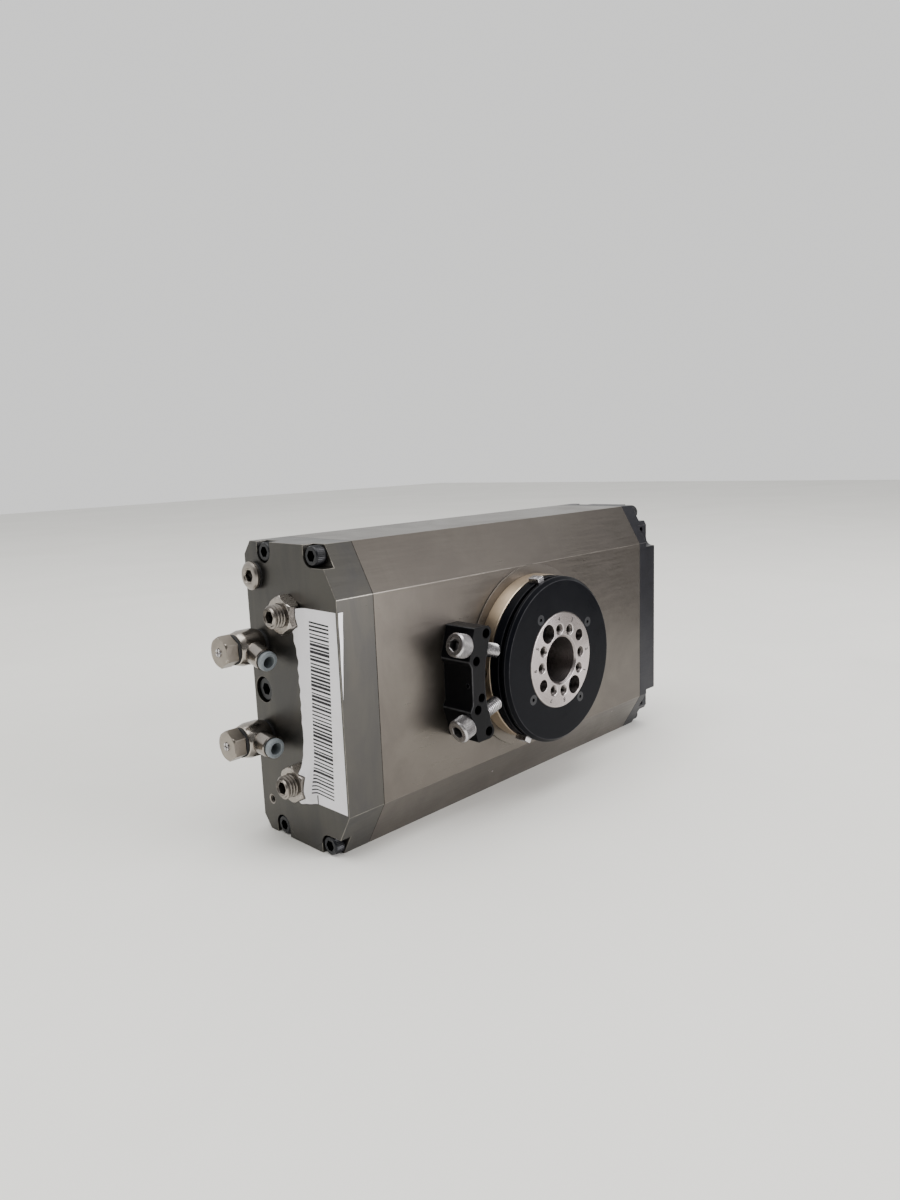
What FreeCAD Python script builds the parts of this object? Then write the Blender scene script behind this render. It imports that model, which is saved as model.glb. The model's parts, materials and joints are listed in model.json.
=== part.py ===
import FreeCAD, Part
import os
from collections import namedtuple
from math import acos, cos, floor, pi, radians, sin, sqrt, tan

# Pneumatic swivel unit: two rack pistons turn one pinion that carries the output flange.
# Millimetres. X runs along the cylinders, Y from the output flange to the back, Z is up.
# The origin lies on the swivel axis, in the plane of the back mounting face.

V = FreeCAD.Vector
SocketSize = namedtuple("SocketSize", "shank head height flats")
SinkSize = namedtuple("SinkSize", "shank head flats")

# Rack drive
gear_module = 2.5
pinion_teeth = 20
pressure_angle = 20.0
tooth_play = 0.15
dedendum_factor = 1.25
flank_steps = 4
pinion_width = 22.0
rack_width = 24.0
swing_angle = 180.0
rest_turn = -10.5

# Cylinders and pistons
bore_radius = 25.0
back_wall = 13.0
top_wall = 10.5
piston_clearance = 0.35
seal_clearance = 0.05
piston_head_length = 17.2
pinion_side_room = 2.0
stop_standout = 3.4
stop_gap = 0.4
seal_land = 3.0
seal_width = 4.0
seal_depth = 3.0
band_land = 2.4
band_width = 5.0
band_depth = 1.5

# Housing and end caps
front_chamfer_depth = 14.6
front_chamfer_height = 25.5
back_chamfer_depth = 5.8
back_chamfer_height = 7.2
near_cap_thickness = 23.0
far_cap_thickness = 19.0
step_ring_margin = 5.5
step_ring_height = 0.8
chamber_clearance = 1.0

# Front bearing, rear bearing and their seats
front_pilot_wall = 3.0
front_bearing_section = 9.0
front_bearing_width = 10.0
front_seat_wall = 1.5
cover_pilot = 1.5
rear_journal_step = 1.0
rear_bearing_section = 6.0
rear_bearing_width = 7.0
front_race_thickness = 2.4
rear_race_thickness = 1.5
race_play = 0.08
front_roller_count = 20
rear_roller_count = 16
roller_end_room = 1.0
race_shoulder = 2.0
shaft_neck_step = 0.875
neck_clearance = 1.2

# Rear cover
rear_cover_rim = 7.0
rear_cover_thickness = 3.5
rear_cover_gap = 0.5
rear_cover_screw_inset = 3.4
rear_cover_screw_count = 4

# Front cover, shaft seal, trip-cam ring and output flange
cover_wall = 8.0
cover_height = 10.0
cover_screw_count = 6
lube_hole_radius = 2.6
lube_hole_depth = 5.0
lube_hole_setback = 4.5
seal_journal_radius = 36.0
journal_clearance = 1.0
seal_section = 5.0
seal_height = 6.0
seal_lip_width = 1.4
seal_case_play = 0.5
ring_gap = 0.5
ring_inset = 0.3
ring_thickness = 11.9
ring_rim_chamfer = 2.0
ring_groove_width = 2.4
ring_groove_depth = 3.2
ring_rear_rim = 5.7
ring_seat_depth = 1.5
ring_screw_inset = 3.7
flange_step = 7.7
flange_proud = 0.4
flange_edge = 0.6
centre_bore_wall = 2.6
centre_bore_depth = 21.5
centre_bore_chamfer = 1.2
thread_hole_inset = 9.8
thread_pair_angle = 15.0
thread_hole_radius = 2.5
thread_hole_sink = 0.9
thread_hole_depth = 14.0
fixing_hole_inset = 7.3
fixing_head_radius = 5.2
fixing_head_height = 5.0
fixing_shank_radius = 3.0
fixing_depth = 11.0
fixing_reach = 10.0
dowel_radius = 3.5
dowel_setback = 9.0
dowel_reach = 8.0

# Trip cams
cam_angles = {"upper": 104.5, "lower": -123.0}
cam_width = 5.0
cam_rise = 2.7
cam_play = 0.06
cam_setback = 0.8

# Near cap: screws, ports, stops
cap_screw_spread = 20.0
cap_screw_edge = 5.4
cap_notch_room = 0.75
cap_screw_recess = 0.5
cap_thread_depth = 14.0
port_inset = 9.0
elbow_offset = 25.0
plug_edge = 18.0
centre_notch_room = 0.6
centre_screw_recess = 1.5
centre_thread_depth = 16.0
plug_flange_radius = 7.5
plug_flange_height = 3.0
plug_seal_height = 1.5
plug_seal_inset = 0.6
plug_thread_length = 9.0
port_thread_radius = 4.9
port_depth = 12.0
small_port_radius = 2.1
small_port_sink = 0.6
passage_radius = 1.6
stop_radius = 6.0
stop_fit = 0.06
stop_protrusion = 13.0
stop_hex = 6.0
stop_hex_depth = 6.0
stop_end_chamfer = 0.9
nut_across_flats = 18.0
nut_height = 7.0
nut_chamfer = 1.1

# O-rings and dampers
o_ring_section = 1.8
o_ring_margin = 2.4
o_ring_squeeze = 0.1
o_ring_sides = 8
damper_radius = 10.0
damper_seat = 2.0

# Far cap pockets
pocket_depth = 10.5
pocket_drop = 2.8
pocket_reach = 6.6
pocket_corner = 5.0
side_port_radius = 1.8
side_port_setback = 7.0
side_port_rise = 8.6
side_port_depth = 8.0

# Flow-control elbows
elbow_tilts = {"upper": -14.0, "lower": -2.7}
elbow_seal_height = 1.6
elbow_seal_wall = 3.1
elbow_play = 0.15
elbow_ring_height = 14.6
elbow_ring_radius = 9.5
elbow_ring_drop = 1.1
elbow_ring_rounding = 3.6
elbow_bore_fit = 0.08
elbow_gallery_radius = 6.4
elbow_gallery_height = 6.0
elbow_washer_height = 1.5
elbow_head_flats = 15.0
elbow_head_height = 7.0
elbow_head_chamfer = 1.0
elbow_bolt_reach = 10.0
sleeve_wall = 1.4
sleeve_length = 17.8
sleeve_edge = 0.5
collar_skirt_wall = 1.35
collar_bore_depth = 6.8
tube_radius = 3.05
tube_seat_depth = 3.4
tube_stop_radius = 2.1
collar_gap = 1.3
collar_rim = 0.8
collar_height = 2.4
collar_edge = 0.6
collar_skirt_length = 4.6
collar_skirt_play = 0.08
collar_hole_play = 0.1
throttle_radius = 2.2
throttle_fit = 0.06
throttle_length = 9.0
throttle_standout = 0.7
throttle_slot_width = 0.8
throttle_slot_depth = 1.2

# Sensor bracket
bracket_setback = 1.4
bracket_air = 15.8
bracket_half_width = 31.0
bracket_corner = 4.2
bracket_corner_hole = 2.7
bracket_recess = 2.1
bracket_recess_run = 3.5
bracket_facet_low = 13.5
bracket_screw_angle = 16.0
bracket_screw_setback = 5.0
bracket_wall = 12.9
bracket_tip_gap = 0.5
bracket_screw_fit = 0.05
bracket_fix_inset = 6.5
bracket_fix_offset = 13.2
bracket_fix_room = 0.05
bracket_fix_floor = 6.0
bracket_extra_inset = 3.3
bracket_extra_offset = -7.2
bracket_extra_hole = 2.5
bracket_extra_depth = 12.0

# Back mounting pattern
mount_spacing_x = 190.0
mount_spacing_z = 130.0
mount_thread_radius = 3.4
mount_thread_depth = 14.0
sleeve_bore_spacing = 120.0
sleeve_bore_radius = 6.0
sleeve_bore_depth = 3.0

# Paper label on the near cap
label_thickness = 0.2
label_rise = 4.0
label_drop = 9.0
label_width = 32.0
label_margin = 1.0
label_nut_room = 1.0

# Standard screws: radii, head heights and sockets across flats
m3_shank_radius = 1.5
m3_head_radius = 2.55
m3_head_height = 3.0
m3_socket_flats = 2.5
m3_sink_radius = 3.0
m3_sink_flats = 2.0
m6_shank_radius = 3.0
m6_head_radius = 5.0
m6_head_height = 6.0
m6_socket_flats = 5.0
m8_shank_radius = 4.0
m8_head_radius = 6.5
m8_head_height = 8.0
m8_socket_flats = 6.0
socket_depth_share = 0.55
sink_angle = 90.0
thread_fit = 0.03
hole_fit = 0.2
sink_reach = 7.0
cover_reach = 6.0

socket_m3 = SocketSize(m3_shank_radius, m3_head_radius, m3_head_height, m3_socket_flats)
socket_m6 = SocketSize(m6_shank_radius, m6_head_radius, m6_head_height, m6_socket_flats)
socket_m8 = SocketSize(m8_shank_radius, m8_head_radius, m8_head_height, m8_socket_flats)
sink_m3 = SinkSize(m3_shank_radius, m3_sink_radius, m3_sink_flats)

# Gear sizes worked out from the module
pitch_radius = gear_module * pinion_teeth / 2
tip_radius = pitch_radius + gear_module
root_radius = pitch_radius - dedendum_factor * gear_module
base_radius = pitch_radius * cos(radians(pressure_angle))
tooth_pitch = pi * gear_module
rack_tip_offset = sqrt(bore_radius ** 2 - (rack_width / 2) ** 2)
travel = pitch_radius * radians(swing_angle)
rest_shift = -pitch_radius * radians(rest_turn)

# Housing sizes worked out from the drive
bore_offset = pitch_radius - gear_module + rack_tip_offset
bore_depth = back_wall + bore_radius
front_wall = front_seat_wall + front_bearing_width + cover_pilot
body_depth = back_wall + 2 * bore_radius + front_wall
body_height = 2 * (bore_offset + bore_radius + top_wall)
mesh_room = sqrt(tip_radius ** 2 - (bore_offset - bore_radius) ** 2) + pinion_side_room
toothed_length = travel + 2 * mesh_room
piston_length = toothed_length + 2 * piston_head_length
end_room = stop_standout + stop_gap
body_length = piston_length + travel + 2 * end_room
near_face = -body_length / 2
far_face = body_length / 2
near_end = near_face - near_cap_thickness
far_end = far_face + far_cap_thickness
top_face = body_height / 2
piston_radius = bore_radius - piston_clearance
chamber_radius = tip_radius + chamber_clearance

# Radii of the output, from the shaft seal's journal outwards and inwards
seal_outer_radius = seal_journal_radius + seal_section
cover_radius = seal_outer_radius + cover_wall
cover_screw_circle = seal_outer_radius + cover_wall / 2
step_ring_radius = cover_radius + step_ring_margin
ring_radius = cover_radius - ring_inset
flange_radius = seal_journal_radius - flange_step
ring_screw_circle = flange_radius + ring_screw_inset
fixing_hole_circle = flange_radius - fixing_hole_inset
thread_hole_circle = flange_radius - thread_hole_inset
centre_bore_radius = thread_hole_circle - thread_hole_radius - centre_bore_wall

# Radii of the bearings and the rear cover
front_bearing_outer = seal_journal_radius + front_pilot_wall
front_bearing_inner = front_bearing_outer - front_bearing_section
shaft_neck_radius = root_radius - shaft_neck_step
rear_bearing_inner = shaft_neck_radius - rear_journal_step
rear_bearing_outer = rear_bearing_inner + rear_bearing_section
rear_cover_radius = rear_bearing_outer + rear_cover_rim
rear_cover_screw_circle = rear_cover_radius - rear_cover_screw_inset

# Places on the near cap and sizes of its elbows
plug_offset = top_face - plug_edge
cap_notch_radius = m6_head_radius + cap_notch_room
centre_notch_radius = m8_head_radius + centre_notch_room
elbow_seal_radius = port_thread_radius + elbow_seal_wall
elbow_ring_shoulder = elbow_ring_radius - elbow_ring_drop
collar_hole_radius = tube_radius + collar_hole_play
collar_bore_radius = tube_radius + collar_skirt_wall
collar_radius = collar_bore_radius + collar_rim
sleeve_radius = collar_bore_radius + sleeve_wall
label_top = bore_offset + label_rise
label_bottom = -(bore_offset + label_drop)
label_right = body_depth - label_margin
label_left = label_right - label_width

# Places on the sensor bracket, from the trip-cam ring outwards
bracket_arc_radius = ring_radius + bracket_air
bracket_screw_tip = ring_radius + cam_rise + bracket_tip_gap
bracket_screw_seat = bracket_arc_radius + bracket_wall
bracket_fix_reach = bracket_arc_radius + bracket_fix_inset
bracket_fix_hole = m3_head_radius + bracket_fix_room
bracket_extra_reach = bracket_arc_radius + bracket_extra_inset

# Levels along Y, from the back face to the output flange
front_face = -body_depth
step_face = front_face - step_ring_height
bore_level = -bore_depth
pinion_back = bore_level + pinion_width / 2
pinion_front = bore_level - pinion_width / 2
rear_race_back = -rear_cover_thickness
rear_race_front = rear_race_back - rear_bearing_width
front_race_back = -(back_wall + 2 * bore_radius + front_seat_wall)
front_race_front = front_race_back - front_bearing_width
cover_front = front_face - cover_height
ring_back = cover_front - ring_gap
ring_front = ring_back - ring_thickness
flange_front = ring_front - flange_proud
ring_seat = ring_back - ring_seat_depth
shaft_end = rear_race_back - rear_cover_gap
bore_bottom = flange_front + centre_bore_depth
bracket_front = ring_front + bracket_setback
bracket_screw_level = bracket_front + bracket_screw_setback

SIDES = {"upper": 1, "lower": -1}
FLANGE_QUARTERS = [45 + 90 * quarter for quarter in range(4)]
X_AXIS = V(1, 0, 0)
Y_AXIS = V(0, 1, 0)
Z_AXIS = V(0, 0, 1)


def box(x0, x1, y0, y1, z0, z1):
    """Block between two corners."""
    return Part.makeBox(x1 - x0, y1 - y0, z1 - z0, V(x0, y0, z0))


def rod(radius, start, end):
    """Cylinder from one point to another."""
    return Part.makeCylinder(radius, (end - start).Length, start, end - start)


def along_y(radius, y0, y1, x=0.0, z=0.0):
    """Cylinder along Y at a place in the XZ plane."""
    return rod(radius, V(x, y0, z), V(x, y1, z))


def along_x(radius, x0, x1, y, z):
    """Cylinder along X at a place in the YZ plane."""
    return rod(radius, V(x0, y, z), V(x1, y, z))


def cone(radius0, radius1, start, end):
    """Truncated cone from one point to another."""
    return Part.makeCone(radius0, radius1, (end - start).Length, start, end - start)


def tube_y(outer, inner, y0, y1):
    """Ring about the swivel axis."""
    return along_y(outer, y0, y1).cut(along_y(inner, y0, y1))


def turned(points, axis_point, axis):
    """Solid of revolution from a closed outline."""
    wire = Part.makePolygon(points + points[:1])
    return Part.Face(wire).revolve(axis_point, axis, 360)


def turned_y(outline):
    """Solid about the swivel axis from (radius, y) points."""
    return turned([V(radius, y, 0) for radius, y in outline], V(0, 0, 0), Y_AXIS)


def prism_x(outline, x0, x1):
    """Solid along X from (y, z) points."""
    wire = Part.makePolygon([V(x0, y, z) for y, z in outline + outline[:1]])
    return Part.Face(wire).extrude(V(x1 - x0, 0, 0))


def hexagon(flats, start, end, spoke):
    """Hexagonal prism from one point to another, with a corner towards spoke."""
    axis = (end - start).normalize()
    across = axis.cross(spoke).normalize()
    first = across.cross(axis)
    corner = flats / sqrt(3)
    points = []
    for step in range(7):
        angle = radians(60 * step)
        points.append(start + first * (corner * cos(angle)) + across * (corner * sin(angle)))
    return Part.Face(Part.makePolygon(points)).extrude(end - start)


def rounded_hexagon(flats, start, end, spoke, chamfer, both=False):
    """Hexagonal prism whose corners are turned off at its end, or at both ends."""
    axis = (end - start).normalize()
    length = (end - start).Length
    corner = flats / sqrt(3)
    cut_radius = flats / 2
    reach = corner - cut_radius
    lathe = cone(cut_radius, cut_radius + reach * length / chamfer, end, start)
    solid = hexagon(flats, start, end, spoke).common(lathe)
    if both:
        lathe = cone(cut_radius, cut_radius + reach * length / chamfer, start, end)
        solid = solid.common(lathe)
    return solid


def polar(radius, angle, y):
    """Point at a radius and an angle about the swivel axis, seen from the front."""
    return V(radius * cos(radians(angle)), y, radius * sin(radians(angle)))


def socket_screw(size, seat, outward, reach, spoke):
    """Socket-head screw whose head stands on seat."""
    top = seat + outward * size.height
    head = rod(size.head, seat, top)
    shank = rod(size.shank, seat - outward * reach, seat)
    depth = outward * (size.height * socket_depth_share)
    return head.fuse(shank).cut(hexagon(size.flats, top - depth, top, spoke)).removeSplitter()


def sink_hole(size, face, outward, reach):
    """Outline of a countersunk screw, which is also the cutter for its hole."""
    neck = face - outward * ((size.head - size.shank) / tan(radians(sink_angle / 2)))
    head = cone(size.shank, size.head, neck, face)
    return head.fuse(rod(size.shank, face - outward * reach, neck))


def sink_screw(size, face, outward, reach):
    """Countersunk screw, its head flush with face."""
    depth = outward * (size.flats * socket_depth_share)
    socket = hexagon(size.flats, face - depth, face, Z_AXIS)
    return sink_hole(size, face, outward, reach).cut(socket).removeSplitter()


def cut_all(solid, cutters):
    """Take every cutter from a solid."""
    return solid.cut(Part.makeCompound(cutters)).removeSplitter()


def body_outline():
    """Cross-section shared by the housing and both caps, as (y, z) points."""
    half = [
        (0.0, top_face - back_chamfer_height),
        (-back_chamfer_depth, top_face),
        (front_face + front_chamfer_depth, top_face),
        (front_face, top_face - front_chamfer_height),
    ]
    return half + [(y, -z) for y, z in reversed(half)]


def cap_screw_places():
    """The four corner screws of a cap, as (y, z)."""
    height = top_face - cap_screw_edge
    spread = (-cap_screw_spread, cap_screw_spread)
    return [(bore_level + dy, side * height) for side in (1, -1) for dy in spread]


def mount_places():
    """Back mounting threads, as (x, z)."""
    half_x = mount_spacing_x / 2
    half_z = mount_spacing_z / 2
    return [(sx * half_x, sz * half_z) for sx in (1, -1) for sz in (1, -1)]


def cover_screw_angles():
    """Angles of the front cover's screws."""
    return [360 / cover_screw_count * (index + 0.5) for index in range(cover_screw_count)]


def rear_cover_angles():
    """Angles of the rear cover's screws."""
    return [360 / rear_cover_screw_count * (index + 0.5) for index in range(rear_cover_screw_count)]


def bracket_fix_places():
    """The two holes that fasten the sensor bracket, as (x, z)."""
    return [(-bracket_fix_reach, side * bracket_fix_offset) for side in (1, -1)]


def make_housing():
    """Housing block with both cylinders, the pinion chamber and the bearing seats."""
    block = prism_x(body_outline(), near_face, far_face)
    block = block.fuse(along_y(step_ring_radius, front_face + step_ring_height, step_face))
    cutters = [along_x(bore_radius, near_face, far_face, bore_level, s * bore_offset) for s in (1, -1)]
    shoulder_radius = front_bearing_inner + race_shoulder
    shoulder_back = front_race_back + race_shoulder + neck_clearance
    chamber_back = pinion_back + neck_clearance
    cutters.append(along_y(front_bearing_outer, front_race_back, step_face))
    cutters.append(along_y(shoulder_radius + neck_clearance, shoulder_back, front_race_back))
    cutters.append(along_y(chamber_radius, chamber_back, shoulder_back))
    cutters.append(along_y(shaft_neck_radius + neck_clearance, rear_race_front, chamber_back))
    cutters.append(along_y(rear_bearing_outer, 0, rear_race_front))
    cutters.append(along_y(rear_cover_radius, 0, rear_race_back))
    for y, z in cap_screw_places():
        radius = m6_shank_radius + thread_fit
        cutters.append(along_x(radius, near_face, near_face + cap_thread_depth, y, z))
        cutters.append(along_x(radius, far_face, far_face - cap_thread_depth, y, z))
    radius = m8_shank_radius + thread_fit
    cutters.append(along_x(radius, near_face, near_face + centre_thread_depth, -port_inset, 0))
    for x, z in mount_places():
        cutters.append(along_y(mount_thread_radius, 0, -mount_thread_depth, x, z))
    for side in (1, -1):
        place = (side * sleeve_bore_spacing / 2, side * mount_spacing_z / 2)
        cutters.append(along_y(sleeve_bore_radius, 0, -sleeve_bore_depth, *place))
    for angle in cover_screw_angles():
        start = polar(cover_screw_circle, angle, step_face)
        end = polar(cover_screw_circle, angle, step_face + cover_reach)
        cutters.append(rod(m3_shank_radius + thread_fit, start, end))
    for angle in rear_cover_angles():
        start = polar(rear_cover_screw_circle, angle, rear_race_back)
        end = polar(rear_cover_screw_circle, angle, -sink_reach)
        cutters.append(rod(m3_shank_radius + thread_fit, start, end))
    for x, z in bracket_fix_places():
        cutters.append(along_y(m3_shank_radius + thread_fit, front_face, front_face + cover_reach, x, z))
    return cut_all(block, cutters)


def corner_notch(y, z, outer, floor_x):
    """Pocket for a corner screw head, milled out through the cap's edges."""
    side = 1 if z > 0 else -1
    edge = side * (top_face + cap_notch_radius)
    radius = cap_notch_radius
    x0, x1 = sorted((outer, floor_x))
    z0, z1 = sorted((z, edge))
    notch = along_x(radius, x0, x1, y, z)
    if y > bore_level:
        return notch.fuse(box(x0, x1, y - radius, y + radius, z0, z1))
    low, high = sorted((z - side * radius, edge))
    notch = notch.fuse(box(x0, x1, front_face, y + radius, z0, z1))
    return notch.fuse(box(x0, x1, front_face, y, low, high))


def o_ring_groove(face, inward, z):
    """Cutter for the O-ring round one cylinder, in a cap's inner face."""
    inner = bore_radius + o_ring_margin
    outer = inner + 2 * o_ring_section
    depth = 2 * o_ring_section - o_ring_squeeze
    start = V(face, bore_level, z)
    end = V(face + inward * depth, bore_level, z)
    return rod(outer, start, end).cut(rod(inner, start, end))


def make_o_rings(face, inward):
    """Both O-rings of one cap."""
    radius = bore_radius + o_ring_margin + o_ring_section
    section = o_ring_section - o_ring_squeeze / 2
    corner = section / cos(pi / o_ring_sides)
    rings = []
    for side in SIDES.values():
        axis_point = V(face, bore_level, side * bore_offset)
        middle = axis_point + V(inward * section, 0, radius)
        outline = []
        for index in range(o_ring_sides):
            angle = 2 * pi * (index + 0.5) / o_ring_sides
            outline.append(middle + V(corner * cos(angle), 0, corner * sin(angle)))
        rings.append(turned(outline, axis_point, X_AXIS))
    return Part.makeCompound(rings)


def make_near_cap():
    """Near end cap with its stop holes, ports, passages and screw pockets."""
    cap = prism_x(body_outline(), near_end, near_face)
    head = m6_head_height + cap_screw_recess
    cutters = []
    for y, z in cap_screw_places():
        cutters.append(corner_notch(y, z, near_end, near_end + head))
        cutters.append(along_x(m6_shank_radius + hole_fit, near_end, near_face, y, z))
    seat = near_end + m8_head_height + centre_screw_recess
    cutters.append(along_x(centre_notch_radius, near_end, seat, -port_inset, 0))
    cutters.append(along_x(m8_shank_radius + hole_fit, seat, near_face, -port_inset, 0))
    for side in SIDES.values():
        cutters.append(along_x(stop_radius + stop_fit, near_end, near_face, bore_level, side * bore_offset))
        port_end = near_end + port_depth
        cutters.append(along_x(port_thread_radius, near_end, port_end, -port_inset, side * elbow_offset))
        start = V(port_end - passage_radius, -port_inset, side * elbow_offset)
        mouth = V(near_face, bore_level + bore_radius / 2, side * (bore_offset - bore_radius / 2))
        cutters.append(rod(passage_radius, start, mouth + (mouth - start).normalize() * passage_radius))
        cutters.append(o_ring_groove(near_face, -1, side * bore_offset))
    plug_end = near_end + plug_thread_length
    cutters.append(along_x(port_thread_radius, near_end, plug_end, -port_inset, plug_offset))
    small = V(near_end, -port_inset, -plug_offset)
    cutters.append(rod(small_port_radius, small, small + X_AXIS * port_depth))
    sink = small_port_radius + small_port_sink
    cutters.append(cone(sink, small_port_radius, small, small + X_AXIS * small_port_sink))
    return cut_all(cap, cutters)


def pocket_cutter(side):
    """Pocket in the far cap that opens to its end, its front face and its chamfer."""
    low = top_face - front_chamfer_height - pocket_drop
    inner = front_face + pocket_reach
    cutter = box(far_end - pocket_depth, far_end, front_face, inner, low, top_face)
    inner_edges = [e for e in cutter.Edges if e.BoundBox.YMin > inner - pocket_corner]
    corners = [e for e in inner_edges if e.BoundBox.XLength > pocket_corner]
    cutter = cutter.makeFillet(pocket_corner, corners)
    if side < 0:
        cutter = cutter.mirror(V(0, 0, 0), Z_AXIS)
    return cutter


def make_far_cap():
    """Far end cap with its screw pockets, damper seats and side ports."""
    cap = prism_x(body_outline(), far_face, far_end)
    head = m6_head_height + cap_screw_recess
    cutters = []
    for y, z in cap_screw_places():
        cutters.append(corner_notch(y, z, far_end, far_end - head))
        cutters.append(along_x(m6_shank_radius + hole_fit, far_face, far_end, y, z))
    wall = front_face + pocket_reach
    for side in SIDES.values():
        place = side * bore_offset
        cutters.append(along_x(damper_radius, far_face, far_face + damper_seat, bore_level, place))
        cutters.append(o_ring_groove(far_face, 1, place))
        cutters.append(pocket_cutter(side))
        port_z = side * (top_face - front_chamfer_height + side_port_rise)
        port_x = far_end - side_port_setback
        cutters.append(along_y(side_port_radius, wall, wall + side_port_depth, port_x, port_z))
    return cut_all(cap, cutters)


def make_dampers():
    """Elastomer pads in the far cap that stop the pistons."""
    pads = []
    for side in SIDES.values():
        place = (bore_level, side * bore_offset)
        pads.append(along_x(damper_radius, far_face - stop_standout, far_face + damper_seat, *place))
    return Part.makeCompound(pads)


def make_cap_screws(seat, outward, cap_thickness):
    """Four corner screws of one cap."""
    reach = cap_thickness - m6_head_height - cap_screw_recess + cap_thread_depth
    screws = []
    for y, z in cap_screw_places():
        screws.append(socket_screw(socket_m6, V(seat, y, z), outward, reach, Z_AXIS))
    return Part.makeCompound(screws)


def make_centre_screw():
    """Recessed socket screw at the middle of the near cap's back edge."""
    seat = near_end + m8_head_height + centre_screw_recess
    reach = near_face - seat + centre_thread_depth
    return socket_screw(socket_m8, V(seat, -port_inset, 0), -X_AXIS, reach, Z_AXIS)


def make_stop_screw(side):
    """Threaded stop screw with a hexagon socket in its outer end."""
    z = side * bore_offset
    outer = near_end - stop_protrusion
    tip = near_face + stop_standout
    edge = stop_end_chamfer
    screw = along_x(stop_radius, outer + edge, tip - edge, bore_level, z)
    for end, inward in ((outer, edge), (tip, -edge)):
        point = V(end, bore_level, z)
        screw = screw.fuse(cone(stop_radius - edge, stop_radius, point, point + X_AXIS * inward))
    mouth = V(outer, bore_level, z)
    socket = hexagon(stop_hex, mouth, mouth + X_AXIS * stop_hex_depth, Z_AXIS)
    return screw.cut(socket).removeSplitter()


def make_lock_nuts():
    """Chamfered hexagon nuts that lock the stop screws."""
    nuts = []
    for side in SIDES.values():
        start = V(near_end, bore_level, side * bore_offset)
        end = start - X_AXIS * nut_height
        nut = rounded_hexagon(nut_across_flats, start, end, Z_AXIS, nut_chamfer, both=True)
        nuts.append(nut.cut(rod(stop_radius + stop_fit, start, end)))
    return Part.makeCompound(nuts)


def make_port_plug():
    """Flanged screw plug with a hexagon socket."""
    face = V(near_end - plug_seal_height, -port_inset, plug_offset)
    top = face - X_AXIS * plug_flange_height
    plug = rod(plug_flange_radius, face, top)
    plug = plug.fuse(rod(port_thread_radius, face, V(near_end + plug_thread_length, face.y, face.z)))
    socket = hexagon(m8_socket_flats, top, top + X_AXIS * plug_flange_height, Z_AXIS)
    return plug.cut(socket).removeSplitter()


def make_plug_seal():
    """Seal ring under the plug's flange."""
    start = V(near_end, -port_inset, plug_offset)
    end = start - X_AXIS * plug_seal_height
    return rod(plug_flange_radius - plug_seal_inset, start, end).cut(rod(port_thread_radius, start, end))


def involute(radius):
    """Involute function at a radius of the pinion."""
    angle = acos(base_radius / radius)
    return tan(angle) - angle


def flank_points(centre, hand):
    """Points up one involute flank, from the base circle to the tip."""
    half = (tooth_pitch / 4 - tooth_play) / pitch_radius + involute(pitch_radius)
    points = []
    for step in range(flank_steps + 1):
        radius = base_radius + (tip_radius - base_radius) * step / flank_steps
        angle = centre + hand * (half - involute(radius))
        points.append(V(radius * cos(angle), pinion_front, radius * sin(angle)))
    return points


def round_point(radius, angle):
    """Point of the pinion's outline."""
    return V(radius * cos(angle), pinion_front, radius * sin(angle))


def make_pinion_teeth():
    """Toothed ring of the pinion, turned to its rest position."""
    edges = []
    step = 2 * pi / pinion_teeth
    half = (tooth_pitch / 4 - tooth_play) / pitch_radius + involute(pitch_radius)
    half_tip = half - involute(tip_radius)
    for index in range(pinion_teeth):
        centre = radians(90 + rest_turn) + step * (index + 0.5)
        rising = Part.BSplineCurve()
        rising.interpolate(flank_points(centre, -1))
        falling = Part.BSplineCurve()
        falling.interpolate(list(reversed(flank_points(centre, 1))))
        foot = round_point(root_radius, centre - half)
        edges.append(Part.LineSegment(foot, round_point(base_radius, centre - half)).toShape())
        edges.append(rising.toShape())
        tip = round_point(tip_radius, centre)
        tip_start = round_point(tip_radius, centre - half_tip)
        edges.append(Part.Arc(tip_start, tip, round_point(tip_radius, centre + half_tip)).toShape())
        edges.append(falling.toShape())
        heel = round_point(root_radius, centre + half)
        edges.append(Part.LineSegment(round_point(base_radius, centre + half), heel).toShape())
        valley = round_point(root_radius, centre + step / 2)
        next_foot = round_point(root_radius, centre + step - half)
        edges.append(Part.Arc(heel, valley, next_foot).toShape())
    wire = Part.Wire(edges)
    return Part.Face(wire).extrude(V(0, pinion_width, 0))


def make_pinion_shaft():
    """Pinion with its bearing journals, ready for the output flange."""
    shoulder = front_race_back + race_shoulder
    shoulder_radius = front_bearing_inner + race_shoulder
    shaft = turned_y([
        (0, shaft_end), (rear_bearing_inner, shaft_end), (rear_bearing_inner, rear_race_front),
        (shaft_neck_radius, rear_race_front), (shaft_neck_radius, shoulder),
        (shoulder_radius, shoulder), (shoulder_radius, front_race_back),
        (front_bearing_inner, front_race_back), (front_bearing_inner, front_race_front),
        (0, front_race_front),
    ])
    shaft = shaft.fuse(make_pinion_teeth())
    cutters = []
    for angle in (FLANGE_QUARTERS[1], FLANGE_QUARTERS[3]):
        start = polar(fixing_hole_circle, angle + rest_turn, front_race_front)
        cutters.append(rod(fixing_shank_radius, start, start + Y_AXIS * fixing_reach))
    for angle in (FLANGE_QUARTERS[0], FLANGE_QUARTERS[2]):
        start = polar(fixing_hole_circle, angle + rest_turn, front_race_front)
        cutters.append(rod(dowel_radius, start, start + Y_AXIS * dowel_reach))
    return cut_all(shaft, cutters)


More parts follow.
